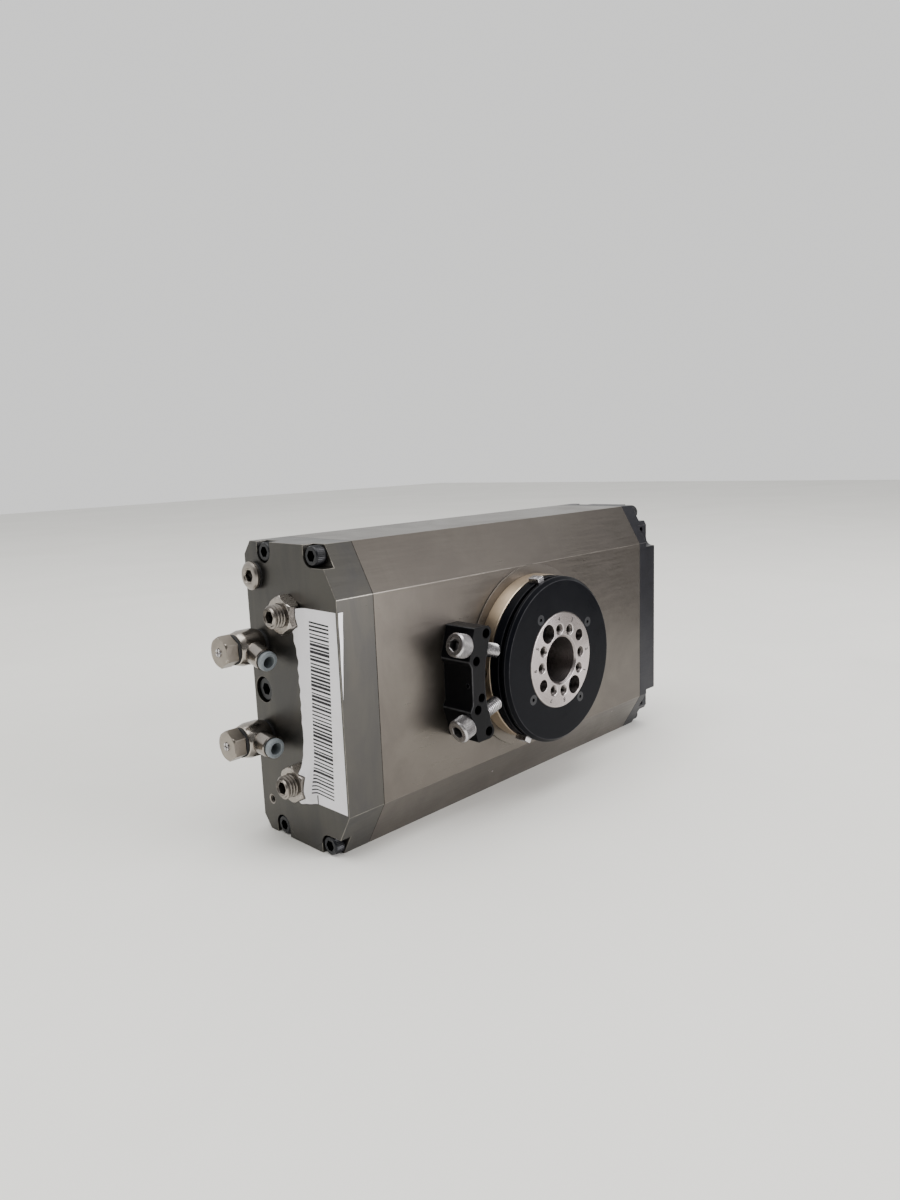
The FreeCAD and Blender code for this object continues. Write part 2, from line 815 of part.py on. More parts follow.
def make_output_flange():
    """Output flange with its centre bore, eight threaded holes and four fixing holes."""
    flange = turned_y([
        (0, front_race_front), (seal_journal_radius, front_race_front),
        (seal_journal_radius, ring_seat), (flange_radius, ring_seat),
        (flange_radius, flange_front + flange_edge), (flange_radius - flange_edge, flange_front),
        (centre_bore_radius + centre_bore_chamfer, flange_front),
        (centre_bore_radius, flange_front + centre_bore_chamfer),
        (centre_bore_radius, bore_bottom), (0, bore_bottom),
    ])
    cutters = []
    for quarter in range(4):
        for offset in (-thread_pair_angle, thread_pair_angle):
            mouth = polar(thread_hole_circle, 90 * quarter + offset + rest_turn, flange_front)
            cutters.append(rod(thread_hole_radius, mouth, mouth + Y_AXIS * thread_hole_depth))
            sunk = thread_hole_radius + thread_hole_sink
            cutters.append(cone(sunk, thread_hole_radius, mouth, mouth + Y_AXIS * thread_hole_sink))
    for angle in (FLANGE_QUARTERS[1], FLANGE_QUARTERS[3]):
        mouth = polar(fixing_hole_circle, angle + rest_turn, flange_front)
        cutters.append(rod(fixing_head_radius + hole_fit, mouth, mouth + Y_AXIS * fixing_depth))
        end = polar(fixing_hole_circle, angle + rest_turn, front_race_front)
        cutters.append(rod(fixing_shank_radius, mouth, end))
    for angle in (FLANGE_QUARTERS[0], FLANGE_QUARTERS[2]):
        mouth = polar(fixing_hole_circle, angle + rest_turn, flange_front)
        end = polar(fixing_hole_circle, angle + rest_turn, front_race_front)
        cutters.append(rod(dowel_radius, mouth, end))
    for angle in FLANGE_QUARTERS:
        start = polar(ring_screw_circle, angle + rest_turn, ring_front)
        cutters.append(rod(m3_shank_radius, start, start + Y_AXIS * (ring_thickness + sink_reach)))
    return cut_all(flange, cutters)


def make_flange_screws():
    """Two socket screws that hold the flange to the pinion shaft."""
    size = SocketSize(fixing_shank_radius, fixing_head_radius, fixing_head_height, m6_socket_flats)
    seat_level = flange_front + fixing_depth
    reach = front_race_front + fixing_reach - seat_level
    screws = []
    for angle in (FLANGE_QUARTERS[1], FLANGE_QUARTERS[3]):
        seat = polar(fixing_hole_circle, angle + rest_turn, seat_level)
        screws.append(socket_screw(size, seat, -Y_AXIS, reach, Z_AXIS))
    return Part.makeCompound(screws)


def make_flange_dowels():
    """Two dowel pins that carry the flange's torque."""
    pins = []
    for angle in (FLANGE_QUARTERS[0], FLANGE_QUARTERS[2]):
        start = polar(fixing_hole_circle, angle + rest_turn, flange_front + dowel_setback)
        end = polar(fixing_hole_circle, angle + rest_turn, front_race_front + dowel_reach)
        pins.append(rod(dowel_radius, start, end))
    return Part.makeCompound(pins)


def make_cam_ring():
    """Trip-cam ring: rear rim, groove and front disc with a chamfered edge."""
    groove_back = ring_back - ring_rear_rim
    groove_front = groove_back - ring_groove_width
    groove_radius = ring_radius - ring_groove_depth
    ring = turned_y([
        (seal_journal_radius, ring_back), (ring_radius, ring_back), (ring_radius, groove_back),
        (groove_radius, groove_back), (groove_radius, groove_front), (ring_radius, groove_front),
        (ring_radius, ring_front + ring_rim_chamfer), (ring_radius - ring_rim_chamfer, ring_front),
        (flange_radius, ring_front), (flange_radius, ring_seat), (seal_journal_radius, ring_seat),
    ])
    cutters = []
    for angle in FLANGE_QUARTERS:
        face = polar(ring_screw_circle, angle + rest_turn, ring_front)
        cutters.append(sink_hole(sink_m3, face, -Y_AXIS, ring_thickness))
    return cut_all(ring, cutters)


def make_ring_screws():
    """Four countersunk screws that hold the trip-cam ring to the flange."""
    screws = []
    for angle in FLANGE_QUARTERS:
        face = polar(ring_screw_circle, angle + rest_turn, ring_front)
        screws.append(sink_screw(sink_m3, face, -Y_AXIS, ring_thickness + sink_reach))
    return Part.makeCompound(screws)


def make_trip_cam(angle):
    """Trip cam that rides on the rim, with a foot in the groove."""
    groove_back = ring_back - ring_rear_rim
    groove_front = groove_back - ring_groove_width
    inner = ring_radius + cam_play
    outer = ring_radius + cam_rise
    foot_radius = ring_radius - ring_groove_depth + cam_play
    back = ring_back - cam_setback
    saddle = tube_y(outer, inner, groove_front + cam_play, back)
    foot = tube_y(outer, foot_radius, groove_front + cam_play, groove_back - cam_play)
    window = box(0, outer, groove_front, back, -cam_width / 2, cam_width / 2)
    cam = saddle.fuse(foot).common(window).removeSplitter()
    cam.rotate(V(0, 0, 0), -Y_AXIS, angle)
    return cam


def make_front_cover():
    """Bearing cover that stands round the output as a turned boss."""
    bore = seal_journal_radius + journal_clearance
    seat = cover_front + seal_height
    cover = turned_y([
        (bore, front_race_front), (front_bearing_outer, front_race_front),
        (front_bearing_outer, step_face), (cover_radius, step_face), (cover_radius, cover_front),
        (seal_outer_radius, cover_front), (seal_outer_radius, seat), (bore, seat),
    ])
    cutters = []
    for angle in cover_screw_angles():
        face = polar(cover_screw_circle, angle, cover_front)
        cutters.append(sink_hole(sink_m3, face, -Y_AXIS, cover_height))
    level = cover_front + lube_hole_setback
    start = V(-cover_radius - lube_hole_radius, level, 0)
    end = V(-cover_radius + lube_hole_depth, level, 0)
    cutters.append(rod(lube_hole_radius, start, end))
    return cut_all(cover, cutters)


def make_cover_screws():
    """Countersunk screws of the front cover."""
    reach = cover_height - step_ring_height + cover_reach
    screws = []
    for angle in cover_screw_angles():
        face = polar(cover_screw_circle, angle, cover_front)
        screws.append(sink_screw(sink_m3, face, -Y_AXIS, reach))
    return Part.makeCompound(screws)


def make_shaft_seal():
    """Lip seal between the front cover and the output flange."""
    lip = seal_journal_radius + seal_clearance
    back = cover_front + seal_height
    heel = seal_journal_radius + journal_clearance
    middle = cover_front + seal_height / 2
    return turned_y([
        (seal_outer_radius, cover_front + seal_case_play), (seal_outer_radius, back), (heel, back),
        (heel, middle + seal_lip_width), (lip, middle), (lip, middle - seal_lip_width),
        (heel, cover_front + seal_case_play),
    ])


def make_bearing(inner, outer, race, span, count):
    """Outer race, inner race and rollers of a roller bearing between two levels."""
    back, front = span
    outer_race = tube_y(outer, outer - race, back, front)
    inner_race = tube_y(inner + race, inner, back, front)
    middle = (inner + outer) / 2
    radius = (outer - inner) / 2 - race - race_play
    rollers = []
    for index in range(count):
        angle = 360 / count * index
        start = polar(middle, angle, back - roller_end_room)
        end = polar(middle, angle, front + roller_end_room)
        rollers.append(rod(radius, start, end))
    return outer_race, inner_race, Part.makeCompound(rollers)


def make_rear_cover():
    """Flush disc that closes the rear bearing seat."""
    disc = along_y(rear_cover_radius, 0, rear_race_back)
    cutters = []
    for angle in rear_cover_angles():
        face = polar(rear_cover_screw_circle, angle, 0)
        cutters.append(sink_hole(sink_m3, face, Y_AXIS, rear_cover_thickness))
    return cut_all(disc, cutters)


def make_rear_cover_screws():
    """Countersunk screws of the rear cover."""
    screws = []
    for angle in rear_cover_angles():
        face = polar(rear_cover_screw_circle, angle, 0)
        screws.append(sink_screw(sink_m3, face, Y_AXIS, sink_reach))
    return Part.makeCompound(screws)


def piston_centre(side):
    """Where the middle of a piston lies along X at rest."""
    return side * rest_shift


def head_levels(side):
    """Seal and guide-band spans of both piston heads, as (seal, band) pairs of X values."""
    centre = piston_centre(side)
    spans = []
    for hand in (-1, 1):
        end = centre + hand * piston_length / 2
        seal = end - hand * seal_land
        seal_end = seal - hand * seal_width
        band = seal_end - hand * band_land
        band_end = band - hand * band_width
        spans.append((sorted((seal, seal_end)), sorted((band, band_end))))
    return spans


def ring_x(outer, inner, span, z):
    """Ring round a piston between two X values."""
    x0, x1 = span
    return along_x(outer, x0, x1, bore_level, z).cut(along_x(inner, x0, x1, bore_level, z))


def rack_cutter(side):
    """Space over the rack's teeth, from their zigzag edge down past the piston."""
    centre = piston_centre(side)
    tip = pitch_radius - gear_module
    root = pitch_radius + dedendum_factor * gear_module
    slope = tan(radians(pressure_angle))
    half_pitch = tooth_pitch / 4 - tooth_play
    half_tip = half_pitch - gear_module * slope
    half_root = half_pitch + dedendum_factor * gear_module * slope
    count = floor((toothed_length / 2 - half_root) / tooth_pitch)
    below = bore_offset - bore_radius - gear_module
    start = centre - toothed_length / 2
    end = centre + toothed_length / 2
    edge = [(start, below), (start, root)]
    for index in range(-count, count + 1):
        middle = centre + index * tooth_pitch
        edge += [(middle - half_root, root), (middle - half_tip, tip)]
        edge += [(middle + half_tip, tip), (middle + half_root, root)]
    edge += [(end, root), (end, below)]
    wire = Part.makePolygon([V(x, bore_level - bore_radius, side * z) for x, z in edge + edge[:1]])
    return Part.Face(wire).extrude(V(0, 2 * bore_radius, 0))


def make_rack_piston(side):
    """Piston with a rack cut along its inner side and grooves in both heads."""
    z = side * bore_offset
    centre = piston_centre(side)
    half = piston_length / 2
    piston = along_x(piston_radius, centre - half, centre + half, bore_level, z)
    cutters = [rack_cutter(side)]
    for seal, band in head_levels(side):
        cutters.append(ring_x(bore_radius, piston_radius - seal_depth, seal, z))
        cutters.append(ring_x(bore_radius, piston_radius - band_depth, band, z))
    return cut_all(piston, cutters)


def make_piston_rings(side, which, depth):
    """Seals or guide bands of one piston."""
    outer = bore_radius - seal_clearance
    rings = []
    for spans in head_levels(side):
        rings.append(ring_x(outer, piston_radius - depth, spans[which], side * bore_offset))
    return Part.makeCompound(rings)


def elbow_levels():
    """X values of an elbow: seal top, ring start, ring end, washer start, head start, head end."""
    seal = near_end - elbow_seal_height
    ring_start = seal - elbow_play
    ring_end = ring_start - elbow_ring_height
    washer = ring_end - elbow_play
    head = washer - elbow_washer_height
    return seal, ring_start, ring_end, washer, head, head - elbow_head_height


def elbow_direction(name):
    """Direction in which an elbow's sleeve points."""
    tilt = radians(elbow_tilts[name])
    return V(0, -cos(tilt), sin(tilt))


def elbow_centre(side):
    """Middle of the banjo ring on its bolt's axis."""
    _, ring_start, ring_end, _, _, _ = elbow_levels()
    return V((ring_start + ring_end) / 2, -port_inset, side * elbow_offset)


def make_elbow_bolt(side):
    """Hollow banjo bolt with a hexagon head that holds the throttle screw."""
    _, _, _, _, head, head_end = elbow_levels()
    z = side * elbow_offset
    bolt = along_x(port_thread_radius, head, near_end + elbow_bolt_reach, -port_inset, z)
    start = V(head, -port_inset, z)
    end = V(head_end, -port_inset, z)
    bolt = bolt.fuse(rounded_hexagon(elbow_head_flats, start, end, Z_AXIS, elbow_head_chamfer))
    drilled = along_x(throttle_radius + throttle_fit, head_end, near_end + elbow_bolt_reach, -port_inset, z)
    cross = elbow_centre(side)
    reach = Y_AXIS * port_thread_radius
    return bolt.cut(drilled.fuse(rod(throttle_radius, cross - reach, cross + reach))).removeSplitter()


def make_elbow_seals():
    """Seal ring and washer either side of each banjo ring."""
    seal, _, _, washer, head, _ = elbow_levels()
    rings = []
    for side in SIDES.values():
        z = side * elbow_offset
        for x0, x1 in ((near_end, seal), (washer, head)):
            ring = along_x(elbow_seal_radius, x0, x1, -port_inset, z)
            rings.append(ring.cut(along_x(port_thread_radius, x0, x1, -port_inset, z)))
    return Part.makeCompound(rings)


def make_elbow_body(name):
    """Banjo ring with its push-in sleeve."""
    side = SIDES[name]
    _, ring_start, ring_end, _, _, _ = elbow_levels()
    z = side * elbow_offset
    axis_point = V(0, -port_inset, z)
    shoulder = elbow_ring_shoulder
    widest_start = ring_start - elbow_ring_rounding
    widest_end = ring_end + elbow_ring_rounding
    outline = [
        (0, ring_start), (shoulder, ring_start), (elbow_ring_radius, widest_start),
        (elbow_ring_radius, widest_end), (shoulder, ring_end), (0, ring_end),
    ]
    ring = turned([V(x, -port_inset, z + r) for r, x in outline], axis_point, X_AXIS)
    centre = elbow_centre(side)
    out = elbow_direction(name)
    sleeve = rod(sleeve_radius, centre, centre + out * (sleeve_length - sleeve_edge))
    tip = cone(sleeve_radius, sleeve_radius - sleeve_edge,
               centre + out * (sleeve_length - sleeve_edge), centre + out * sleeve_length)
    half = elbow_gallery_height / 2
    cutters = [along_x(port_thread_radius + elbow_bore_fit, ring_start, ring_end, -port_inset, z)]
    cutters.append(along_x(elbow_gallery_radius, centre.x - half, centre.x + half, -port_inset, z))
    collar_floor = sleeve_length - collar_bore_depth
    tube_floor = collar_floor - tube_seat_depth
    cutters.append(rod(collar_bore_radius, centre + out * collar_floor, centre + out * sleeve_length))
    cutters.append(rod(tube_radius, centre + out * tube_floor, centre + out * collar_floor))
    cutters.append(rod(tube_stop_radius, centre, centre + out * tube_floor))
    return cut_all(ring.fuse(sleeve).fuse(tip), cutters)


def make_release_collar(name):
    """Push collar in the mouth of a sleeve."""
    out = elbow_direction(name)
    foot = elbow_centre(SIDES[name]) + out * (sleeve_length + collar_gap)
    rim = foot + out * (collar_height - collar_edge)
    top = foot + out * collar_height
    skirt = foot - out * (collar_gap + collar_skirt_length)
    collar = rod(collar_radius, foot, rim).fuse(cone(collar_radius, collar_radius - collar_edge, rim, top))
    collar = collar.fuse(rod(collar_bore_radius - collar_skirt_play, skirt, foot))
    return collar.cut(rod(collar_hole_radius, skirt, top)).removeSplitter()


def make_throttle_screw(side):
    """Slotted throttle screw in the banjo bolt's head."""
    _, _, _, _, _, head_end = elbow_levels()
    z = side * elbow_offset
    outer = head_end - throttle_standout
    screw = along_x(throttle_radius, outer, outer + throttle_length, -port_inset, z)
    half = throttle_slot_width / 2
    floor_x = outer + throttle_slot_depth
    reach = throttle_radius
    flat = box(outer, floor_x, -port_inset - reach, -port_inset + reach, z - half, z + half)
    upright = box(outer, floor_x, -port_inset - half, -port_inset + half, z - reach, z + reach)
    return cut_all(screw, [flat, upright])


def bracket_corner_place():
    """Centre of the bracket's rounded upper corner, as (x, z)."""
    z = bracket_half_width - bracket_corner
    return -sqrt(bracket_arc_radius ** 2 - z ** 2) - bracket_corner, z


def facet_point(z):
    """Point at height z on the bracket's upper screw facet."""
    angle = radians(bracket_screw_angle)
    return -(bracket_screw_seat - z * sin(angle)) / cos(angle), z


def make_sensor_bracket():
    """Sensor bracket: arc towards the ring, two angled screw facets and a shallow waist."""
    corner_x, corner_z = bracket_corner_place()
    peak_x, peak_z = facet_point(bracket_facet_low)
    top_x, top_z = facet_point(bracket_half_width)
    waist_x = peak_x + bracket_recess
    waist_z = peak_z - bracket_recess_run
    diagonal = bracket_corner * cos(radians(45))

    def at(x, z):
        return V(x, front_face, z)

    outline = [(corner_x, top_z), (top_x, top_z), (peak_x, peak_z), (waist_x, waist_z)]
    outline += [(x, -z) for x, z in reversed(outline)]
    edges = [Part.LineSegment(at(*a), at(*b)).toShape() for a, b in zip(outline, outline[1:])]
    arc_x = corner_x + bracket_corner
    low_bend = at(corner_x + diagonal, -corner_z - diagonal)
    edges.append(Part.Arc(at(corner_x, -top_z), low_bend, at(arc_x, -corner_z)).toShape())
    edges.append(Part.Arc(at(arc_x, -corner_z), at(-bracket_arc_radius, 0), at(arc_x, corner_z)).toShape())
    high_bend = at(corner_x + diagonal, corner_z + diagonal)
    edges.append(Part.Arc(at(arc_x, corner_z), high_bend, at(corner_x, top_z)).toShape())
    bracket = Part.Face(Part.Wire(edges)).extrude(V(0, bracket_front - front_face, 0))
    cutters = []
    for side in SIDES.values():
        cutters.append(along_y(bracket_corner_hole, bracket_front, front_face, corner_x, side * corner_z))
        angle = 180 - side * bracket_screw_angle
        start = polar(bracket_screw_tip, angle, bracket_screw_level)
        end = polar(bracket_screw_seat + m8_head_height, angle, bracket_screw_level)
        cutters.append(rod(m8_shank_radius + bracket_screw_fit, start, end))
    for x, z in bracket_fix_places():
        floor_y = front_face - bracket_fix_floor
        cutters.append(along_y(bracket_fix_hole, bracket_front, floor_y, x, z))
        cutters.append(along_y(m3_shank_radius + thread_fit, floor_y, front_face, x, z))
    extra_end = bracket_front + bracket_extra_depth
    extra = (-bracket_extra_reach, bracket_extra_offset)
    cutters.append(along_y(bracket_extra_hole, bracket_front, extra_end, *extra))
    return cut_all(bracket, cutters)


def make_bracket_screws():
    """Two small socket screws that hold the bracket to the housing."""
    seat = front_face - bracket_fix_floor
    reach = bracket_fix_floor + cover_reach
    screws = []
    for x, z in bracket_fix_places():
        screws.append(socket_screw(socket_m3, V(x, seat, z), -Y_AXIS, reach, Z_AXIS))
    return Part.makeCompound(screws)


def make_knurled_screws():
    """Two knurled socket screws that point at the trip cams."""
    screws = []
    reach = bracket_screw_seat - bracket_screw_tip
    for side in SIDES.values():
        angle = 180 - side * bracket_screw_angle
        seat = polar(bracket_screw_seat, angle, bracket_screw_level)
        outward = polar(1, angle, 0)
        screws.append(socket_screw(socket_m8, seat, outward, reach, Y_AXIS))
    return Part.makeCompound(screws)


def make_label():
    """Paper label on the near cap, cut round the lock nuts."""
    outer = near_end - label_thickness
    sheet = box(outer, near_end, -label_right, -label_left, label_bottom, label_top)
    radius = nut_across_flats / sqrt(3) + label_nut_room
    rounds = [along_x(radius, outer, near_end, bore_level, s * bore_offset) for s in (1, -1)]
    return cut_all(sheet, rounds)


def make_parts():
    """Every node of the unit, by name."""
    front_outer, front_inner, front_rollers = make_bearing(
        front_bearing_inner, front_bearing_outer, front_race_thickness,
        (front_race_back, front_race_front), front_roller_count)
    rear_outer, rear_inner, rear_rollers = make_bearing(
        rear_bearing_inner, rear_bearing_outer, rear_race_thickness,
        (rear_race_back, rear_race_front), rear_roller_count)
    cap_seat = m6_head_height + cap_screw_recess
    parts = {
        "housing": make_housing(),
        "near_end_cap": make_near_cap(),
        "far_end_cap": make_far_cap(),
        "near_cap_screws": make_cap_screws(near_end + cap_seat, -X_AXIS, near_cap_thickness),
        "far_cap_screws": make_cap_screws(far_end - cap_seat, X_AXIS, far_cap_thickness),
        "near_cap_centre_screw": make_centre_screw(),
        "near_cap_o_rings": make_o_rings(near_face, -1),
        "far_cap_o_rings": make_o_rings(far_face, 1),
        "far_cap_dampers": make_dampers(),
        "stop_lock_nuts": make_lock_nuts(),
        "port_plug": make_port_plug(),
        "port_plug_seal": make_plug_seal(),
        "front_bearing_cover": make_front_cover(),
        "front_cover_screws": make_cover_screws(),
        "shaft_seal": make_shaft_seal(),
        "front_bearing_outer_race": front_outer,
        "front_bearing_inner_race": front_inner,
        "front_bearing_rollers": front_rollers,
        "rear_bearing_outer_race": rear_outer,
        "rear_bearing_inner_race": rear_inner,
        "rear_bearing_rollers": rear_rollers,
        "rear_cover": make_rear_cover(),
        "rear_cover_screws": make_rear_cover_screws(),
        "pinion_shaft": make_pinion_shaft(),
        "output_flange": make_output_flange(),
        "flange_screws": make_flange_screws(),
        "flange_dowels": make_flange_dowels(),
        "trip_cam_ring": make_cam_ring(),
        "trip_cam_ring_screws": make_ring_screws(),
        "sensor_bracket": make_sensor_bracket(),
        "sensor_bracket_screws": make_bracket_screws(),
        "knurled_screws": make_knurled_screws(),
        "elbow_seals": make_elbow_seals(),
        "inventory_label": make_label(),
    }
    for name, side in SIDES.items():
        parts[name + "_rack_piston"] = make_rack_piston(side)
        parts[name + "_piston_seals"] = make_piston_rings(side, 0, seal_depth)
        parts[name + "_guide_bands"] = make_piston_rings(side, 1, band_depth)
        parts[name + "_stop_screw"] = make_stop_screw(side)
        parts[name + "_elbow_bolt"] = make_elbow_bolt(side)
        parts[name + "_elbow_body"] = make_elbow_body(name)
        parts[name + "_release_collar"] = make_release_collar(name)
        parts[name + "_throttle_screw"] = make_throttle_screw(side)
        parts[name + "_trip_cam"] = make_trip_cam(cam_angles[name])
    return parts


def main():
    """Write one STEP file per node and print the sizes that the joints need."""
    os.makedirs("parts", exist_ok=True)
    for name, shape in make_parts().items():
        shape.exportStep("parts/" + name + ".step")
    print("body", body_length, body_depth, body_height, "travel", travel, "rest shift", rest_shift)
    print("swing from", -swing_angle / 2 - rest_turn, "to", swing_angle / 2 - rest_turn)


main()
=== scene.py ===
"""Dresses a packed pneumatic swivel unit: softened blocks, cut threads, fittings, label and finishes."""

import json
import logging
from collections.abc import Callable, Iterable
from dataclasses import dataclass
from enum import Enum
from math import atan2, ceil, cos, exp, radians, sin, sqrt, tau

import bmesh
import bpy
from bmesh.types import BMEdge, BMesh, BMVert
from bpy.types import Material, Node, NodeSocket, NodeTree, Object
from mathutils import Matrix, Vector


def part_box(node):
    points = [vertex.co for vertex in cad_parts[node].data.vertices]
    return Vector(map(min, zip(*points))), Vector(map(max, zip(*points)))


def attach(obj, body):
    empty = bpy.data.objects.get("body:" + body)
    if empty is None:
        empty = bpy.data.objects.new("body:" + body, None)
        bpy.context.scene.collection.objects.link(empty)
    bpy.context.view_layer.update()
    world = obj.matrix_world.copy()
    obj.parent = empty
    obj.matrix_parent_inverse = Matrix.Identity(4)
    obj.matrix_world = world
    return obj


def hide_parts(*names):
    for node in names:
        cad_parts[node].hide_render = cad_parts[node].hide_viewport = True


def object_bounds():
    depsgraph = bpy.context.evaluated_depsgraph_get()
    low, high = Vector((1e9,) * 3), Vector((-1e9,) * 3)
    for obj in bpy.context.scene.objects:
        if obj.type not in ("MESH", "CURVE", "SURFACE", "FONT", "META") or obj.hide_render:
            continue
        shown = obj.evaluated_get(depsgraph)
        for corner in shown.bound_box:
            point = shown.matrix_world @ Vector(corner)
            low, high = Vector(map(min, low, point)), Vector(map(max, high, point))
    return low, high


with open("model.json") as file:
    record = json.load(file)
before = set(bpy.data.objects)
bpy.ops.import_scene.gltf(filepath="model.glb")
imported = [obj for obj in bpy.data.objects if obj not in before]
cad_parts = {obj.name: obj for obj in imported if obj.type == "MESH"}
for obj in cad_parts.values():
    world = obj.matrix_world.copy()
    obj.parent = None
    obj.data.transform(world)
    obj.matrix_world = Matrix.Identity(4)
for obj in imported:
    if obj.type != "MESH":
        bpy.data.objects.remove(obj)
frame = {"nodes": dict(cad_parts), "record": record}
cad_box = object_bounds()

log = logging.getLogger("swivel_unit")

MM = 0.001
ROUND_STEPS = 4
Point = tuple[float, float, float]
Colour = tuple[int, int, int]
Profile = list[tuple[float, ...]]
LEFT: Point = (-1.0, 0.0, 0.0)
RIGHT: Point = (1.0, 0.0, 0.0)
FRONT: Point = (0.0, -1.0, 0.0)
BACK: Point = (0.0, 1.0, 0.0)
UP: Point = (0.0, 0.0, 1.0)


class Side(Enum):
    """Upper or lower cylinder of the unit."""

    UPPER = 1
    LOWER = -1

    @property
    def word(self) -> str:
        """The side's word in node and body names."""
        return self.name.lower()


class Knurl(Enum):
    """Pattern pressed into a screw head's side."""

    STRAIGHT = "straight"
    DIAMOND = "diamond"


class Effect(Enum):
    """Shared surface effects, each a shader node group that is built once."""

    CAST_GRAIN = "cast_grain"
    MILLED_GRAIN = "milled_grain"
    TURNED_GRAIN = "turned_grain"
    STAINS = "handling_stains"
    EDGE_WEAR = "edge_wear"
    GRIME = "settled_grime"
    SPECKS = "dust_specks"


@dataclass(frozen=True)
class Placement:
    """Where a shape modelled in millimetres about its own Z axis stands on the unit.

    Attributes:
        origin: place of the shape's origin, in millimetres.
        axis: direction of the shape's Z axis.
        spoke: direction of the shape's X axis, square to the axis.
    """

    origin: Point
    axis: Point
    spoke: Point = UP

    @classmethod
    def radial(cls, angle: float, radius: float, level: float) -> "Placement":
        """Stand a shape on a circle about the swivel axis, pointing outwards.

        Args:
            angle: place on the circle, in degrees.
            radius: radius of the circle.
            level: level along the swivel axis.

        Returns:
            The placement.
        """
        out = (cos(radians(angle)), 0.0, sin(radians(angle)))
        return cls((radius * out[0], level, radius * out[2]), out, FRONT)

    def matrix(self) -> Matrix:
        """Work out the placement's matrix.

        Returns:
            The matrix from the shape's millimetres to metres on the unit.
        """
        out = Vector(self.axis).normalized()
        side = out.cross(Vector(self.spoke)).normalized()
        turn = Matrix((side.cross(out), side, out)).transposed().to_4x4()
        return Matrix.Translation(Vector(self.origin) * MM) @ turn @ Matrix.Scale(MM, 4)


SWIVEL = Placement((0.0, 0.0, 0.0), FRONT, RIGHT)


def node_box(node: str) -> tuple[Vector, Vector]:
    """Lowest and highest corner of a CAD node, in millimetres."""
    low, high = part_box(node)
    return low / MM, high / MM


def tone(red: int, green: int, blue: int) -> tuple[float, float, float, float]:
    """Turn a display colour into the linear colour that shaders take.

    Args:
        red: red share, 0 to 255.
        green: green share, 0 to 255.
        blue: blue share, 0 to 255.

    Returns:
        Linear red, green, blue and an alpha of one.
    """
    shares = [value / 255 for value in (red, green, blue)]
    linear = [s / 12.92 if s <= 0.04045 else ((s + 0.055) / 1.055) ** 2.4 for s in shares]
    return linear[0], linear[1], linear[2], 1.0


